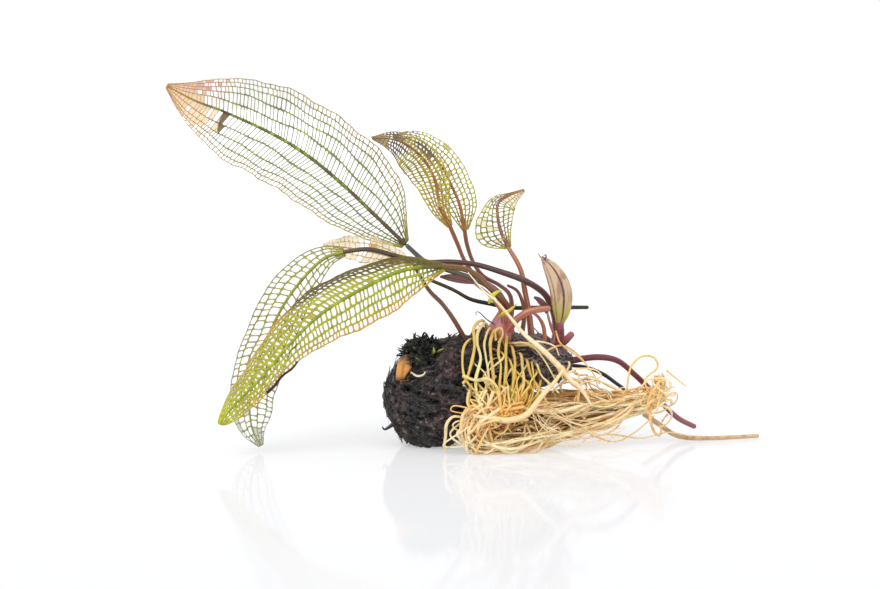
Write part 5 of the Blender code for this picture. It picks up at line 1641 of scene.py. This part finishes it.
    def curls(self) -> Surface:
        """Small loose loops and side roots that stand out of the heap and the knot."""
        dice = np.random.default_rng(53)
        count = 70
        share = np.linspace(0.0, 1.0, 22)[:, None]
        place = dice.uniform(0.0, 1.0, (count, 1, 1))
        knot = dice.uniform(0.0, 1.0, (count, 1, 1)) < 0.2
        x = np.where(knot, 88.0 + 8.0 * place, 15.0 + 52.0 * place)
        middle = np.concatenate([x, -14.0 + 8.0 * place - 6.0 * (1 - place) * ~knot,
                                 np.where(knot, 20.0, 9.0 + 6.0 * place)
                                 + dice.normal(size=(count, 1, 1)) * 4.0], axis=-1)
        first = unit(dice.normal(size=(count, 1, 3)))
        second = unit(np.cross(first, dice.normal(size=(count, 1, 3))))
        size = dice.uniform(2.0, 5.0, (count, 1, 1))
        sweep = dice.uniform(2.5, 5.0, (count, 1, 1))
        paths = (middle + size * (first * np.cos(sweep * share) + second * np.sin(sweep * share))
                 + dice.normal(size=(count, 1, 3)) * share * 3.0)
        paths[..., 2] = np.clip(paths[..., 2], 0.8, 28.0)
        paths[..., 1] = np.clip(paths[..., 1], -25.0, 12.0)
        radii = dice.uniform(0.25, 0.65, (count, 1)) * (1.0 - 0.4 * share[:, 0])
        return tubes(paths, radii, 6, seed=54)

    def painted_glow_and_shade(self, surface: Surface) -> Surface:
        """Mark the heap's heart for its painted orange glow, and how far behind the heap's front a point lies, for
        its painted shade.
        """
        # Painted glow: strongest at the heap's heart.
        away = (surface.points - self.glow_middle) / self.glow_reach
        surface.paint["glow"] = np.exp(-(away ** 2).sum(1))
        # Painted shade: 0 on the heap's front, 1 at 14 mm behind it.
        front = np.interp(surface.points[:, 0], self.front_x, self.front_y)
        surface.paint["inner"] = np.clip((surface.points[:, 1] - front) / 14.0, 0.0, 1.0)
        return surface

    def build(self) -> None:
        """Make the hanging roots, the tangle and the single roots."""
        golden = RootFinish("golden_root", (0.95, 0.84, 0.44), (0.80, 0.58, 0.13), (0.55, 0.33, 0.04))
        tan = RootFinish("tan_root", (1.0, 0.86, 0.56), (0.96, 0.64, 0.26), (0.62, 0.31, 0.08))
        cream = RootFinish("cream_root", (1.0, 0.88, 0.62), (0.94, 0.70, 0.38), (0.74, 0.44, 0.18))
        brown = RootFinish("brown_root", (0.66, 0.45, 0.25), (0.52, 0.28, 0.10), (0.30, 0.13, 0.04))
        paths = np.stack([even_path(route, self.steps) for route in self.hanging])
        share = np.linspace(0.0, 1.0, self.steps)
        radii = np.array([0.6, 0.5, 0.62, 0.46, 0.66, 0.5, 0.6, 0.55, 0.6, 0.55, 0.45, 0.42, 0.66])[:, None]
        by_hand = tubes(paths, radii * (1.0 + 0.12 * np.sin(17.0 * share + 3.0 * radii)), 10, seed=55)
        hanging = joined([by_hand] + [family.surface() for family in HANGING_FAMILIES])
        hanging_nodes = [f"hanging_root_{number}" for number in range(1, 10)]
        add_piece("hanging_roots", self.painted_glow_and_shade(hanging), golden.material(), hanging_nodes)
        mat_nodes = ["root_mat"] + [f"mat_root_{number}" for number in range(1, 6)]
        finish, creamy, browner = tan.material(), cream.material(), brown.material()
        loose = np.stack([even_path(route, self.steps) for route in self.loose])
        parts = [family.surface() for family in TANGLE_FAMILIES]
        parts += [self.curls(), tubes(loose, 0.4 * (1.0 - 0.4 * share), 8, seed=56)]
        add_piece("root_tangle", self.painted_glow_and_shade(joined(parts)), finish, mat_nodes)
        for node, route, widths in self.single:
            path = even_path(route, 60)
            radii = smooth_values(widths, np.linspace(0.0, 1.0, 60))
            made = tubes(path, radii, 12, lobes=(3, 0.07), seed=len(node))
            shade = browner if node == "runner_root" else finish if "loop" in node else creamy
            add_piece(node.replace("_root", "_strand"), made, shade, (node,))


# The studio.


@dataclass
class Studio:
    """A pale floor, soft light and the camera, seven degrees above level."""

    target: Point = (6.0, 0.0, 60.6)
    distance: float = 831.1
    climb: float = 7.0
    lens: float = 85.0
    sensor: float = 36.0

    def camera(self) -> None:
        """Stand the camera in front of the plant and use it."""
        made = bpy.data.cameras.new("camera")
        made.lens = self.lens
        made.sensor_width = self.sensor
        holder = bpy.data.objects.new("camera", made)
        climb = math.radians(self.climb)
        x, y, z = self.target
        holder.location = (x * MM, (y - self.distance * math.cos(climb)) * MM,
                           (z + self.distance * math.sin(climb)) * MM)
        holder.rotation_euler = (math.pi / 2 - climb, 0.0, 0.0)
        bpy.context.scene.collection.objects.link(holder)
        bpy.context.scene.camera = holder

    @staticmethod
    def flat(name: str, corners: Sequence[Point], finish: bpy.types.Material) -> None:
        """A four-cornered sheet of the studio, with its corners in metres."""
        mesh = bpy.data.meshes.new(name)
        mesh.from_pydata(list(corners), [], [(0, 1, 2, 3)])
        mesh.materials.append(finish)
        made = bpy.data.objects.new(name, mesh)
        bpy.context.scene.collection.objects.link(made)

    def floor_and_wall(self) -> None:
        """A slightly glossy pale floor, and a bright white wall far behind the plant."""
        shader = Shader("studio_floor")
        colour = shader.mix(shader.noise(300.0), (0.41, 0.415, 0.435), (0.415, 0.42, 0.44))
        floor = shader.finish(colour, 0.07, IOR=1.1, Emission_Color=(1.0, 1.0, 1.0),
                              Emission_Strength=0.45)
        self.flat("studio_floor", ((-9, -6, 0), (9, -6, 0), (9, 4, 0), (-9, 4, 0)), floor)
        lit = Shader("studio_wall").finish((0.0, 0.0, 0.0), 1.0, Emission_Color=(1.0, 1.0, 1.0),
                                           Emission_Strength=1.0, Specular_IOR_Level=0.0)
        self.flat("studio_wall", ((-9, 4, 0), (9, 4, 0), (9, 4, 7), (-9, 4, 7)), lit)

    @staticmethod
    def light(name: str, place: Point, spread: float, power: float) -> None:
        """A sun that shines from a place towards the plant, soft by its spread in degrees."""
        lamp = bpy.data.lights.new(name, "SUN")
        lamp.angle = math.radians(spread)
        lamp.energy = power
        holder = bpy.data.objects.new(name, lamp)
        holder.location = place
        x, y, z = place
        holder.rotation_euler = (math.atan2(math.hypot(x, y), z), 0.0, math.atan2(x, -y))
        bpy.context.scene.collection.objects.link(holder)

    def build(self) -> None:
        """Camera, floor, lamps and a white sky."""
        self.camera()
        self.floor_and_wall()
        self.light("key_light", (-0.6, -0.7, 1.0), 30.0, 1.3)
        self.light("fill_light", (0.9, -0.9, 0.7), 50.0, 0.4)
        world = bpy.data.worlds.new("white sky")
        world.use_nodes = True
        world.node_tree.nodes["Background"].inputs["Color"].default_value = (1.0, 1.0, 1.0, 1.0)
        world.node_tree.nodes["Background"].inputs["Strength"].default_value = 0.8
        bpy.context.scene.world = world
        bpy.context.scene.view_settings.view_transform = "Standard"


def main() -> None:
    """Load the solids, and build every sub-assembly round them."""
    logging.basicConfig(level=logging.INFO, format="%(name)s: %(message)s")
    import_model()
    Studio().build()
    Tuber().build()
    MossTuft().build()
    build_shoots()
    for stalk in stalks():
        stalk.build()
    for leaf in lace_leaves():
        leaf.build()
    build_closed_leaves()
    build_scraps()
    Roots().build()


if __name__ == "__main__":
    main()
